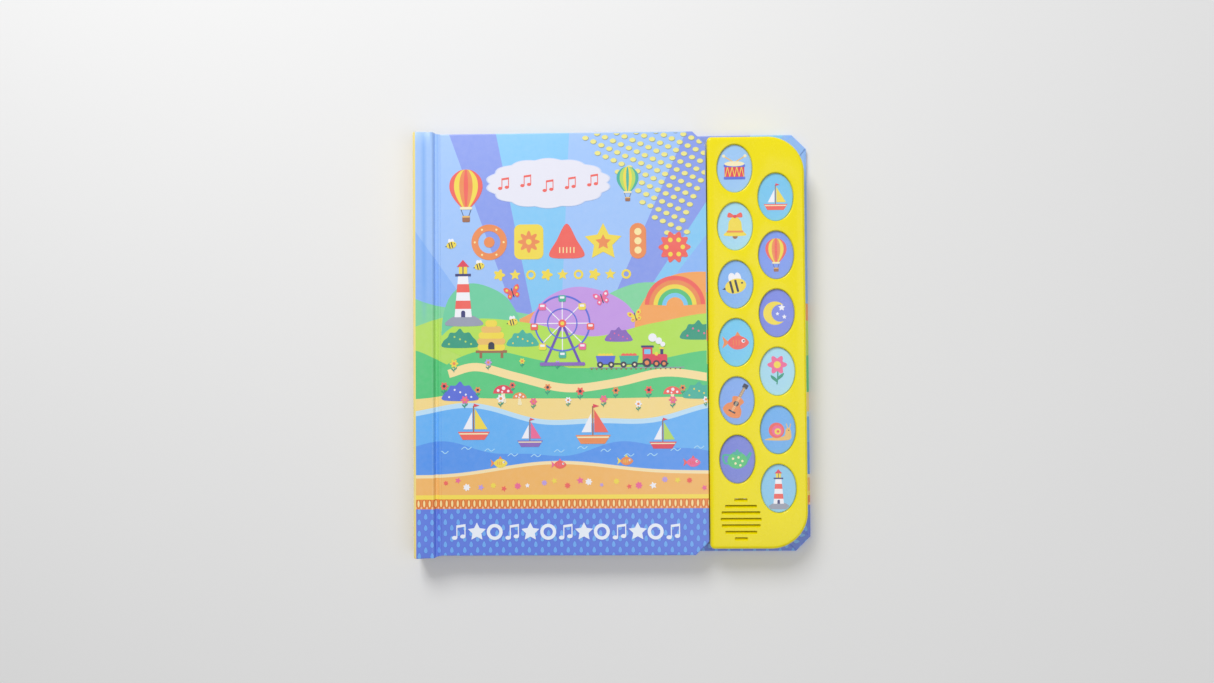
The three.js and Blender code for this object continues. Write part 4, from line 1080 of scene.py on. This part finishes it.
def shape_rows(ink):
    """Row of big plain shapes in orange, yellow and coral, and a row of small yellow ones under it."""
    y, high, pale = 61.5, 10.8, tone("fbe9a8")
    petals = np.arange(6) * TURN / 6
    ink.motif(-76, y, high, 12).add(ORANGE, hoop(0.62, 1.0, 60))
    ink.add(pale, *[oval(0.81 * math.cos(a), 0.81 * math.sin(a), 0.06, None, 12) for a in petals])
    ink.add(ORANGE, oval(0, 0, 0.3))
    ink.motif(-52, y, high, 12).add(YELLOW, tile(-0.82, -0.98, 0.82, 0.98, 0.34))
    ink.add(ORANGE, rosette(0, 0, 0.5, 8, 0.25)).add(YELLOW, oval(0, 0, 0.16))
    peak = flow((-0.98, -0.8), (0, -0.95), (0.98, -0.8), (0.55, 0.1), (0, 1.0), (-0.55, 0.1))
    ink.motif(-29, y, high, 12).add(CORAL, peak)
    ink.add(pale, *[bar(-0.4 + 0.2 * i, -0.62, -0.4 + 0.2 * i, -0.34, 0.06) for i in range(5)])
    ink.motif(-7, y, high, 12).add(YELLOW, star(0, -0.06, 1.08, 5, 0.5))
    ink.add(ORANGE, star(0, -0.06, 0.45, 5, 0.5))
    ink.motif(14, y, high, 12).add(ORANGE, tile(-0.46, -1.0, 0.46, 1.0, 0.44))
    ink.add(pale, oval(0, 0.52, 0.2, None, 20), oval(0, 0, 0.2, None, 20), oval(0, -0.52, 0.2, None, 20))
    ink.motif(36, y - 4, high * 0.92, 12).add(CORAL, rosette(0, 0, 0.86, 10, 0.14, 100))
    ink.add(YELLOW, *[oval(0.5 * math.cos(a), 0.5 * math.sin(a), 0.14, None, 18) for a in petals])
    for i in range(9):
        x = -70 + 9.6 * i
        ink.motif(x, 41.5, 2.9, 12)
        if i % 3 == 1:
            ink.add(YELLOW, star(0, 0, 1.2, 5, 0.48))
        elif i % 3 == 0:
            ink.add(YELLOW, rosette(0, 0, 1.0, 5, 0.25, 50))
        else:
            ink.add(YELLOW, hoop(0.55, 1.0, 40))


def dot_field(ink):
    """Yellow dots on a square lattice turned by 25 degrees, inside a wedge that points down.

    A dot is kept where it lies above the wedge's two sides, each a straight line through the tip.
    """
    pitch, lean = 5.3, math.radians(25)
    tip_x, tip_y = 39.0, 57.0
    for i in range(-22, 23):
        for j in range(-22, 23):
            x = tip_x + pitch * (i * math.cos(lean) + j * math.sin(lean))
            y = tip_y + pitch * (j * math.cos(lean) - i * math.sin(lean))
            over_left = (y - tip_y) - (tip_x - x) * 1.2
            over_right = (y - tip_y) - (x - tip_x) * 2.3
            if over_left > -1 and over_right > -1 and y < 130 and x < 60:
                ink.motif(x, y, 1.0, 8)
                ink.add(tone("8e9c88"), oval(0.15, -0.2, 2.0, 1.5, 14))
                ink.add(tone("efe88a"), oval(0, 0, 1.85, 1.35, 14))


def scenery(ink):
    """Meadow, fairground and bay: plain motifs spread over the lower part of the cover."""
    rng = np.random.default_rng(7)
    ink.motif(0, 0, 1, 1)
    ink.add(tone("6fd0a4"), flow((-105, 10), (-101, 27), (-91, 36), (-78, 35), (-64, 26), (-60, 8),
                                 (-100, 4)))
    ink.add(tone("c79be8"), flow((-52, 12), (-42, 27), (-24, 34), (-4, 30), (10, 20), (14, 4), (-48, 2)))
    ink.add(tone("f7a85c"), flow((12, 14), (24, 34), (42, 42), (66, 38), (70, 8), (20, 2)))
    ink.add(tone("b6e456"), flow((-105.5, 4), (-86, 15), (-50, 12), (-14, 4), (24, 12), (62, 16),
                                 (62, -12), (-60, -14), (-96, -6)))
    ink.add(tone("58cc82"), flow((-105.5, -16), (-80, -4), (-46, -10), (-10, -18), (26, -10), (62, -6),
                                 (62, -30), (-60, -33), (-92, -30)))
    ink.add(tone("fbe3a4"), stroke([(-101, -18), (-84, -14), (-60, -20), (-30, -27), (0, -24), (30, -18),
                                    (62, -22)], 5))
    for i, hue in enumerate((CORAL, ORANGE, YELLOW, GREEN, SKY)):
        band = arc_band(0, 0, 15.6 - 2.6 * i, 18.2 - 2.6 * i, 0.05, math.pi - 0.05, 40)
        ink.motif(36, 22, 1, 5).add(hue, band)
    lighthouse(ink, -92, 30, 12.5, 12)
    balloon(ink, -90, 93, 11.5, 12, (CORAL, YELLOW, ORANGE))
    balloon(ink, 8, 98, 7.5, 12, (TEAL, LIME, YELLOW))
    big_wheel(ink, -32, 12, 17, 12)
    train(ink, 14, -10, 7.4, 14)
    hive(ink, -75, 4, 9, 12)
    for x, y, size, hue, dots in ((-94, 2, 8, PINE, LIME), (-56, 2, 7, TEAL, YELLOW),
                                  (50, 6, 8, PINE, PINK), (-94, -30, 8, COBALT, WHITE),
                                  (50, -30, 7, TEAL, YELLOW), (2, 4, 6, PLUM, PINK)):
        bush(ink, x, y, size, 9, hue, dots)
    for x, y, size, hue, sail in ((-86, -50, 10, CORAL, YELLOW), (-52, -56, 8, PLUM, PINK),
                                  (-14, -52, 11, ORANGE, CORAL), (28, -57, 8.5, RED, LIME)):
        sailboat(ink, x, y, size, 12, hue, sail)
    for i in range(12):
        x, y = -104 + 14 * i, -66 + 2.5 * math.sin(1.3 * i)
        ripple = stroke([(-1, 0), (-0.4, 0.4), (0.2, 0), (0.8, 0.4)], 0.16)
        ink.motif(x, y, 3.4, 8).add(tone("a9dcfb"), ripple)
    for x, y, size, hue, fin in ((-70, -72, 4.5, YELLOW, ORANGE), (-34, -73, 4, CORAL, PINK),
                                 (6, -71, 4.2, ORANGE, YELLOW), (46, -72, 4.5, PINK, CORAL)):
        fish(ink, x, y, size, 10, hue, fin)
    for x, y, size, hue in ((-68, -30, 6.0, RED), (-58, -33, 4.2, ORANGE), (34, -31, 5.5, CORAL)):
        toadstool(ink, x, y, size, 12, hue)
    for i in range(24):
        x = -104 + 6.9 * i + rng.uniform(-1.0, 1.0)
        y = (-27, -11, -35)[i % 3] + rng.uniform(-2, 2)
        size = rng.uniform(1.9, 2.9)
        if i % 3 != 1 or x < -22:
            blossom(ink, x, y, size, 12 + 6 * (i % 3), GLAD[i % 6], DARK if i % 3 == 0 else ORANGE)
    for i in range(22):
        x, y = -104 + 7.4 * i + rng.uniform(-1.5, 1.5), -85 + rng.uniform(-2.5, 3)
        shape = star(0, 0, 1, 5, 0.5, rng.uniform(0, 1)) if i % 2 else rosette(0, 0, 0.8, 7, 0.2)
        ink.motif(x, y, rng.uniform(1.4, 2.4), 9).add((CORAL, PINK, WHITE, LILAC, YELLOW)[i % 5], shape)
    for x, y in ((-82, 47), (-62, 13), (-99, 60)):
        bee(ink, x, y, 3.6, 18)
    for x, y, size, hue, spot in ((-8, 27, 4.6, PINK, WHITE), (12, 16, 4.0, YELLOW, CORAL),
                                  (-62, 31, 4.6, CORAL, YELLOW)):
        butterfly(ink, x, y, size, 18, hue, spot)


def footer(ink):
    """White notes, stars and rings along the blue band."""
    y, white = -113.2, tone("eef4ff")
    for i, x in enumerate(np.linspace(-95, 34, 13)):
        if i % 3 == 0:
            note(ink, x, y, 5.4, 10, white)
        elif i % 3 == 1:
            ink.motif(x, y, 5.4, 10).add(white, star(0, 0, 1.05, 5, 0.5))
        else:
            ink.motif(x, y, 4.8, 10).add(white, hoop(0.58, 1.0, 48))


# Finishes, each made once and shared
finishes = {}


def finish_named(name):
    """The finish of that name, made on first use."""
    makers = {"wrap": wrap_paint, "turned_wrap": lambda: wrap_paint("turned_in_wrap", True),
              "leaves": leaf_paint, "sheet": sheet_paint, "plastic": plastic_paint,
              "ink": lambda: ink_paint("printed_ink", 0.3), "key_ink": lambda: ink_paint("key_ink", 0.22)}
    if name not in finishes:
        finishes[name] = makers[name]() if name in makers else plain_paint(name, *HIDDEN[name])
    return finishes[name]


def dress(node, finish):
    """Give a CAD node that stays its finish."""
    mesh = frame["nodes"][node].data
    mesh.materials.clear()
    mesh.materials.append(finish)


# Sizes and colours that a user would change

class CaseSettings(bpy.types.PropertyGroup):
    board_edge: bpy.props.FloatProperty(
        name="Board edge", description="Rounding of the wrapped board edges", default=0.6 * MM, unit="LENGTH")
    cover_cut: bpy.props.FloatProperty(
        name="Front corner cut", description="Cut corners of the front cover",
        default=FRONT_CUT * MM, unit="LENGTH")
    back_cut: bpy.props.FloatProperty(
        name="Back corner cut", description="Cut corners of the back cover",
        default=BACK_CUT * MM, unit="LENGTH")


class ModuleSettings(bpy.types.PropertyGroup):
    fillet: bpy.props.FloatProperty(
        name="Top fillet", description="Rounding of the module's upper edge", default=2.0 * MM, unit="LENGTH")
    outer_corner: bpy.props.FloatProperty(
        name="Outer corner", description="Corner radius at the fore edge",
        default=MODULE_CORNER * MM, unit="LENGTH")
    rim: bpy.props.FloatProperty(
        name="Window rim", description="Bevel round each window", default=0.8 * MM, unit="LENGTH")


class StageSettings(bpy.types.PropertyGroup):
    floor_colour: bpy.props.FloatVectorProperty(
        name="Floor", description="Colour of the floor", subtype="COLOR", size=3, default=(0.8, 0.8, 0.8))
    key_power: bpy.props.FloatProperty(
        name="Key light", description="Power of the soft light from the head side", default=9.6)


class SOUNDBOOK_OT_case(bpy.types.Operator):
    """Front and back cover, spine, hinge papers and inner sheets"""

    bl_idname = "soundbook.case"
    bl_label = "Covers and spine"

    def execute(self, context):
        settings = context.scene.soundbook_case
        edge = settings.board_edge / MM
        wrap = finish_named("wrap")
        points, faces = wrapped_board(COVER_LOW[0], COVER_HIGH[0], HALF, settings.cover_cut / MM,
                                      COVER_LOW[2], COVER_HIGH[2], edge)
        soften(put("front_cover_wrapped", points, faces, "front_cover", wrap,
                   standing_for=["front_cover"]))
        points, faces = wrapped_board(BACK_LOW[0], BACK_HIGH[0], HALF, settings.back_cut / MM,
                                      BACK_LOW[2], BACK_HIGH[2], edge, [tray_opening()])
        back = put("back_cover_wrapped", points, faces, "back", wrap,
                   standing_for=["back_cover"])
        soften(merge(back))
        points, faces = carried(spine_profile(), spine_reach, 0.5)
        soften(put("spine_wrapped", points, faces, "pages", wrap, standing_for=["spine_panel"]))
        points, faces = carried(folded(front_groove(), 0.3), groove_reach)
        groove = soften(put("front_groove_paper", points, faces, None, wrap,
                            standing_for=["front_joint"]))
        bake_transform(groove)
        points, faces = carried(folded(back_groove(), 0.25), lambda x: HALF + 0 * x)
        joint = soften(put("back_groove_paper", points, faces, None, wrap,
                           standing_for=["back_joint"]))
        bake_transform(joint)
        dress("front_endpaper", finish_named("sheet"))
        dress("back_endpaper", wrap)
        for side, name in ((1, "head_corner_fold"), (-1, "tail_corner_fold")):
            points, faces = corner_fold(side, settings.back_cut / MM)
            soften(put(name, points, faces, "back", finish_named("turned_wrap")))
        return {"FINISHED"}


class SOUNDBOOK_OT_print(bpy.types.Operator):
    """Printed motifs of the front cover"""

    bl_idname = "soundbook.print"
    bl_label = "Cover print"

    def execute(self, context):
        cut = context.scene.soundbook_case.cover_cut / MM
        window = cut_corners(COVER_LOW[0], COVER_HIGH[0], HALF, cut, 0.7)
        for name, parts in (("cover_print_sky", (dot_field, plaque, shape_rows)),
                            ("cover_print_scenery", (scenery,)), ("cover_print_footer", (footer,))):
            ink = Ink(name, "front_cover", COVER_TOP, window, shift=PRINT_X)
            for part in parts:
                part(ink)
            ink.done(finish_named("ink"))
        return {"FINISHED"}


class SOUNDBOOK_OT_pages(bpy.types.Operator):
    """Page block of eight board leaves in one piece, with the printed motifs of its first page"""

    bl_idname = "soundbook.pages"
    bl_label = "Pages"

    def execute(self, context):
        slit, edge, half = 0.05, 0.28, PAGES_HIGH[1]
        thick = (PAGES_HIGH[2] - PAGES_LOW[2]) / LEAVES
        outline = (PAGES_LOW[0], PAGES_HIGH[0], half, PAGE_CUT)
        blocks = [wrapped_board(*outline, PAGES_LOW[2] + i * thick + slit,
                                PAGES_LOW[2] + (i + 1) * thick - slit, edge) for i in range(LEAVES)]
        points, faces = joined(*blocks)
        soften(put("page_leaves", points, faces, "pages", finish_named("leaves"),
                   standing_for=["page_block"]))
        window = cut_corners(PAGES_LOW[0], PAGES_HIGH[0], half, PAGE_CUT, 0.6)
        ink = Ink("first_page_print", "pages", PAGES_HIGH[2] - slit, window, "page_board", PRINT_X)
        ink.step = 0.004
        first_page(ink)
        ink.done(finish_named("ink"))
        return {"FINISHED"}


def first_page(ink):
    """Garden scene of the first page: a rainbow, a hill of flowers, balloons and toadstools."""
    for i, hue in enumerate((CORAL, ORANGE, YELLOW, GREEN, SKY, LILAC)):
        ink.motif(-30, 0, 1, 1).add(hue, arc_band(0, 0, 46 - 6 * i, 52 - 6 * i, 0, math.pi, 60))
    balloon(ink, 30, 70, 16, 4, (CORAL, YELLOW, ORANGE))
    balloon(ink, -92, 76, 12, 4, (TEAL, LIME, YELLOW))
    for i in range(9):
        blossom(ink, -98 + 17 * i, -18 - 7 * (i % 2), 5.5, 6, GLAD[i % 6], DARK if i % 2 else ORANGE)
        ink.motif(-90 + 17 * i, 104 - 6 * (i % 3), 3.2, 4).add(WHITE, star(0, 0, 1, 5, 0.5))
    for x, y, size, hue in ((-70, -70, 11, RED), (-10, -78, 14, ORANGE), (38, -68, 9, PINK)):
        toadstool(ink, x, y, size, 8, hue)


def module_outline(inset, corner, steps=14):
    """Module outline drawn in by an inset, with large corners at the fore edge."""
    x0, x1 = MODULE_LOW[0] + inset, MODULE_HIGH[0] - inset
    y0, y1 = MODULE_LOW[1] + inset, MODULE_HIGH[1] - inset
    small = max(2.6 - inset, 0.3)
    return rounded([(x0, y0), (x1, y0), (x1, y1), (x0, y1)],
                   [small, corner - inset, corner - inset, small], steps)


def key_place(node):
    """Middle of a key in plan, and half its cap's width and length at the window."""
    low, high = span(node)
    return (low + high)[:2] / 2, (high - low)[:2] / 2 - 1.2


def grille_slots():
    """Outlines of the louvre slots at the face and, narrower, inside: steep to the head, sloped to the tail.

    At the face each slot is as long as the round grille's chord there; inside it is a little shorter.
    """
    low, high = span("speaker_frame")
    x, y = (low + high)[:2] / 2
    radius, pitch, half_width, slope, inset = 12.2, 3.85, 0.6, 1.35, 0.4
    tops, feet = [], []
    for i in range(-3, 4):
        reach = math.sqrt(radius ** 2 - (i * pitch) ** 2)
        middle = y + i * pitch
        tops.append(tile(x - reach, middle - slope, x + reach, middle + half_width, 0.3))
        feet.append(tile(x - reach + inset, middle, x + reach - inset, middle + half_width, 0.25))
    return tops, feet


def window_wall(x, y, rx, ry, rim, depth):
    """Side of a window: a quarter-round rim that leads down into a straight oval wall, facing the middle."""
    rings = [at(oval(x, y, rx, ry, RING), MODULE_TOP - depth)]
    for a in np.linspace(0, math.pi / 2, 6):
        grow = rim * (1 - math.cos(a))
        rings.append(at(oval(x, y, rx + grow, ry + grow, RING), MODULE_TOP - rim * (1 - math.sin(a))))
    return flipped(stack(rings, caps=False))


def tube(x, y, outer, inner, bottom, top):
    """Round boss with a blind bore, standing down from the face plate; the bore ends 1 mm under its top."""
    rim, bore = oval(x, y, outer, None, BOSS_RING), oval(x, y, inner, None, BOSS_RING)
    disc = list(range(BOSS_RING))
    return joined(stack([at(rim, bottom), at(rim, top)], caps=False), flipped(plate(rim, [bore], bottom)),
                  flipped(stack([at(bore, bottom), at(bore, top - 1)], caps=False)),
                  (at(bore, top - 1), [disc[::-1]]), (at(rim, top), [disc]))


class SOUNDBOOK_OT_module(bpy.types.Operator):
    """Sound module: moulded cover with its windows and grille, base, door and what they hold"""

    bl_idname = "soundbook.module"
    bl_label = "Sound module"

    def execute(self, context):
        settings = context.scene.soundbook_module
        fillet, corner, rim = settings.fillet / MM, settings.outer_corner / MM, settings.rim / MM
        wall, depth, sunk = 1.8, 2.0, 0.05
        base, ceiling = MODULE_LOW[2], MODULE_TOP - depth
        outer, inner = module_outline(0, corner), module_outline(wall, corner)
        rings = [at(outer, base)]
        rings += [at(module_outline(fillet * (1 - math.cos(a)), corner),
                     MODULE_TOP - fillet * (1 - math.sin(a))) for a in np.linspace(0, math.pi / 2, 8)]
        keys = [key_place(node) for node in KEYS]
        slots, feet = grille_slots()
        openings = [oval(x, y, rx + rim, ry + rim, RING) for (x, y), (rx, ry) in keys] + slots
        lower = [oval(x, y, rx, ry, RING) for (x, y), (rx, ry) in keys] + feet
        parts = [stack(rings, caps=False), plate(rings[-1][:, :2], openings, MODULE_TOP),
                 flipped(plate(inner, lower, ceiling)), flipped(plate(outer, [inner], base)),
                 flipped(stack([at(inner, base), at(inner, ceiling)], caps=False))]
        parts += [window_wall(x, y, rx, ry, rim, depth) for (x, y), (rx, ry) in keys]
        parts += [flipped(stack([at(foot, ceiling), at(slot, MODULE_TOP)], caps=False))
                  for slot, foot in zip(slots, feet)]
        plastic = finish_named("plastic")
        points, faces = joined(*parts)
        shell = put("module_shell", points, faces, "back", plastic,
                    standing_for=["module_cover"])
        soften(merge(shell), 40)
        bosses = []
        bore_radius, grip = 1.2, 4.0
        for node in frame["nodes"]:
            if node.startswith(("case_screw", "board_screw")):
                low, high = span(node)
                x, y = (low + high)[:2] / 2
                radius = 3.0 if node.startswith("case") else 2.4
                bosses.append(tube(x, y, radius, bore_radius, high[2] - grip, ceiling + sunk))
        low, high = span("speaker_gasket")
        x, y = (low + high)[:2] / 2
        rib_outer, rib_inner, rib_height = 15.2, 14.3, 4
        outside, bore = oval(x, y, rib_outer, None, RING), oval(x, y, rib_inner, None, RING)
        foot, head = ceiling - rib_height, ceiling + sunk
        bosses.append(joined(stack([at(outside, foot), at(outside, head)], caps=False),
                             flipped(stack([at(bore, foot), at(bore, head)], caps=False)),
                             flipped(plate(outside, [bore], foot)), plate(outside, [bore], head)))
        points, faces = joined(*bosses)
        soften(merge(put("module_bosses", points, faces, "back", plastic)), 40)
        for node in ("module_base", "battery_door"):
            dress(node, plastic)
        for part in frame["record"]["subparts"]:
            if part["material_slot"] in HIDDEN:
                dress(part["node"], finish_named(part["material_slot"]))
        return {"FINISHED"}


def merge(piece):
    """Join points of a piece that lie in one place, and give the piece back."""
    weld = piece.modifiers.new("weld", "WELD")
    weld.merge_threshold = 0.005 * MM
    graph = bpy.context.evaluated_depsgraph_get()
    mesh = bpy.data.meshes.new_from_object(piece.evaluated_get(graph))
    piece.modifiers.clear()
    piece.data = mesh
    return piece


class SOUNDBOOK_OT_keys(bpy.types.Operator):
    """Twelve picture keys with their printed designs"""

    bl_idname = "soundbook.keys"
    bl_label = "Keys"

    def execute(self, context):
        gap, travel, clearance = 0.2, 0.8, 0.05
        stem_radius, flange_out, flange_thick = 3.5, 1.4, 1.2
        pale = tone("f0f0ea")
        coloured = 4 * RING + 1
        for i, node in enumerate(KEYS):
            (x, y), (rx, ry) = key_place(node)
            low, high = span(node)
            stem = max(low[2], span("keypad")[1][2] + travel + clearance)
            top, flange = high[2], MODULE_TOP - 2.1
            rx, ry = rx - gap, ry - gap
            rings = [at(oval(x, y, stem_radius, None, RING), z) for z in (stem, flange - flange_thick)]
            rings += [at(oval(x, y, rx + flange_out, ry + flange_out, RING), z)
                      for z in (flange - flange_thick, flange)]
            rings += [at(oval(x, y, rx - inset, ry - inset, RING), z) for inset, z in
                      ((0, flange), (0, top - 0.35), (0.1, top - 0.14), (0.3, top - 0.03), (0.6, top))]
            ground, design = KEY_DESIGNS[i]
            points, faces = stack(rings)
            tones = [pale] * (len(faces) - coloured) + [tone(ground)] * coloured
            tones[-2] = pale
            soften(put(f"{node}_cap", points, faces, node, finish_named("key_ink"),
                       tones=tones, standing_for=[node]))
            ink = Ink(f"{node}_picture", node, top, oval(x, y, rx - 0.6, ry - 0.6, 48), "key_print")
            design(ink, x, y, 2)
            ink.done(finish_named("key_ink"))
        return {"FINISHED"}


class SOUNDBOOK_OT_stage(bpy.types.Operator):
    """Floor, lights and the camera at the photograph's angle"""

    bl_idname = "soundbook.stage"
    bl_label = "Stage"

    def execute(self, context):
        scene = context.scene
        settings = scene.soundbook_stage
        scene.view_settings.view_transform = "Standard"
        mesh = bpy.data.meshes.new("floor")
        reach = 3.0
        mesh.from_pydata([(-reach, -reach, 0), (reach, -reach, 0), (reach, reach, 0), (-reach, reach, 0)],
                         [], [(0, 1, 2, 3)])
        floor = bpy.data.objects.new("floor", mesh)
        scene.collection.objects.link(floor)
        paint = Paint("floor_paper")
        patch = paint.noise(3.0, 2.0)
        colour = tuple(settings.floor_colour) + (1.0,)
        lighter = tuple(min(1.0, c * 1.03) for c in settings.floor_colour) + (1.0,)
        paint.set(Base_Color=paint.mix(patch, colour, lighter), Roughness=0.9)
        mesh.materials.append(paint.material)
        world = bpy.data.worlds.new("studio")
        scene.world = world
        world.use_nodes = True
        background = world.node_tree.nodes["Background"]
        background.inputs[0].default_value = (1.0, 1.0, 1.0, 1.0)
        background.inputs[1].default_value = 0.4
        lamp(scene, "key_light", (-0.35, 0.85, 0.85), 0.5, settings.key_power)
        lamp(scene, "fill_light", (0.5, -0.2, 1.2), 0.9, settings.key_power * 0.35)
        sensor, focal_pixels, frame_pixels = 36.0, 1000, 1214
        camera = bpy.data.cameras.new("camera")
        camera.sensor_width = sensor
        camera.lens = focal_pixels / frame_pixels * sensor
        camera.clip_start = 0.01
        eye = bpy.data.objects.new("camera", camera)
        scene.collection.objects.link(eye)
        roll, yaw, pitch = (math.radians(a) for a in (-0.41, 1.46, 1.24))
        eye.rotation_mode = "XYZ"
        eye.rotation_euler = (pitch, yaw, roll)
        eye.location = (0.0125, -0.01228, 0.61864)
        scene.camera = eye
        return {"FINISHED"}


def lamp(scene, name, place, size, power):
    """Square area light that faces the book."""
    data = bpy.data.lights.new(name, "AREA")
    data.size = size
    data.energy = power
    light = bpy.data.objects.new(name, data)
    scene.collection.objects.link(light)
    light.location = place
    aim = np.array(place)
    aim = aim / np.linalg.norm(aim)
    light.rotation_euler = (math.acos(aim[2]), 0.0, math.atan2(aim[1], aim[0]) + math.pi / 2)


class SOUNDBOOK_PT_panel(bpy.types.Panel):
    """Sidebar panel that lists the steps"""

    bl_idname = "SOUNDBOOK_PT_panel"
    bl_label = "Sound book"
    bl_space_type = "VIEW_3D"
    bl_region_type = "UI"
    bl_category = "Sound book"

    def draw(self, context):
        for step in STEPS:
            self.layout.operator(step.bl_idname)


STEPS = (SOUNDBOOK_OT_case, SOUNDBOOK_OT_print, SOUNDBOOK_OT_pages, SOUNDBOOK_OT_module, SOUNDBOOK_OT_keys,
         SOUNDBOOK_OT_stage)
CLASSES = (CaseSettings, ModuleSettings, StageSettings, *STEPS, SOUNDBOOK_PT_panel)


def register():
    for item in CLASSES:
        bpy.utils.register_class(item)
    bpy.types.Scene.soundbook_case = bpy.props.PointerProperty(type=CaseSettings)
    bpy.types.Scene.soundbook_module = bpy.props.PointerProperty(type=ModuleSettings)
    bpy.types.Scene.soundbook_stage = bpy.props.PointerProperty(type=StageSettings)


def unregister():
    del bpy.types.Scene.soundbook_stage
    del bpy.types.Scene.soundbook_module
    del bpy.types.Scene.soundbook_case
    for item in reversed(CLASSES):
        bpy.utils.unregister_class(item)


def main():
    """Register the classes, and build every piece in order."""
    register()
    bpy.ops.soundbook.case()
    bpy.ops.soundbook.print()
    bpy.ops.soundbook.pages()
    bpy.ops.soundbook.module()
    bpy.ops.soundbook.keys()
    bpy.ops.soundbook.stage()


if __name__ == "__main__":
    main()
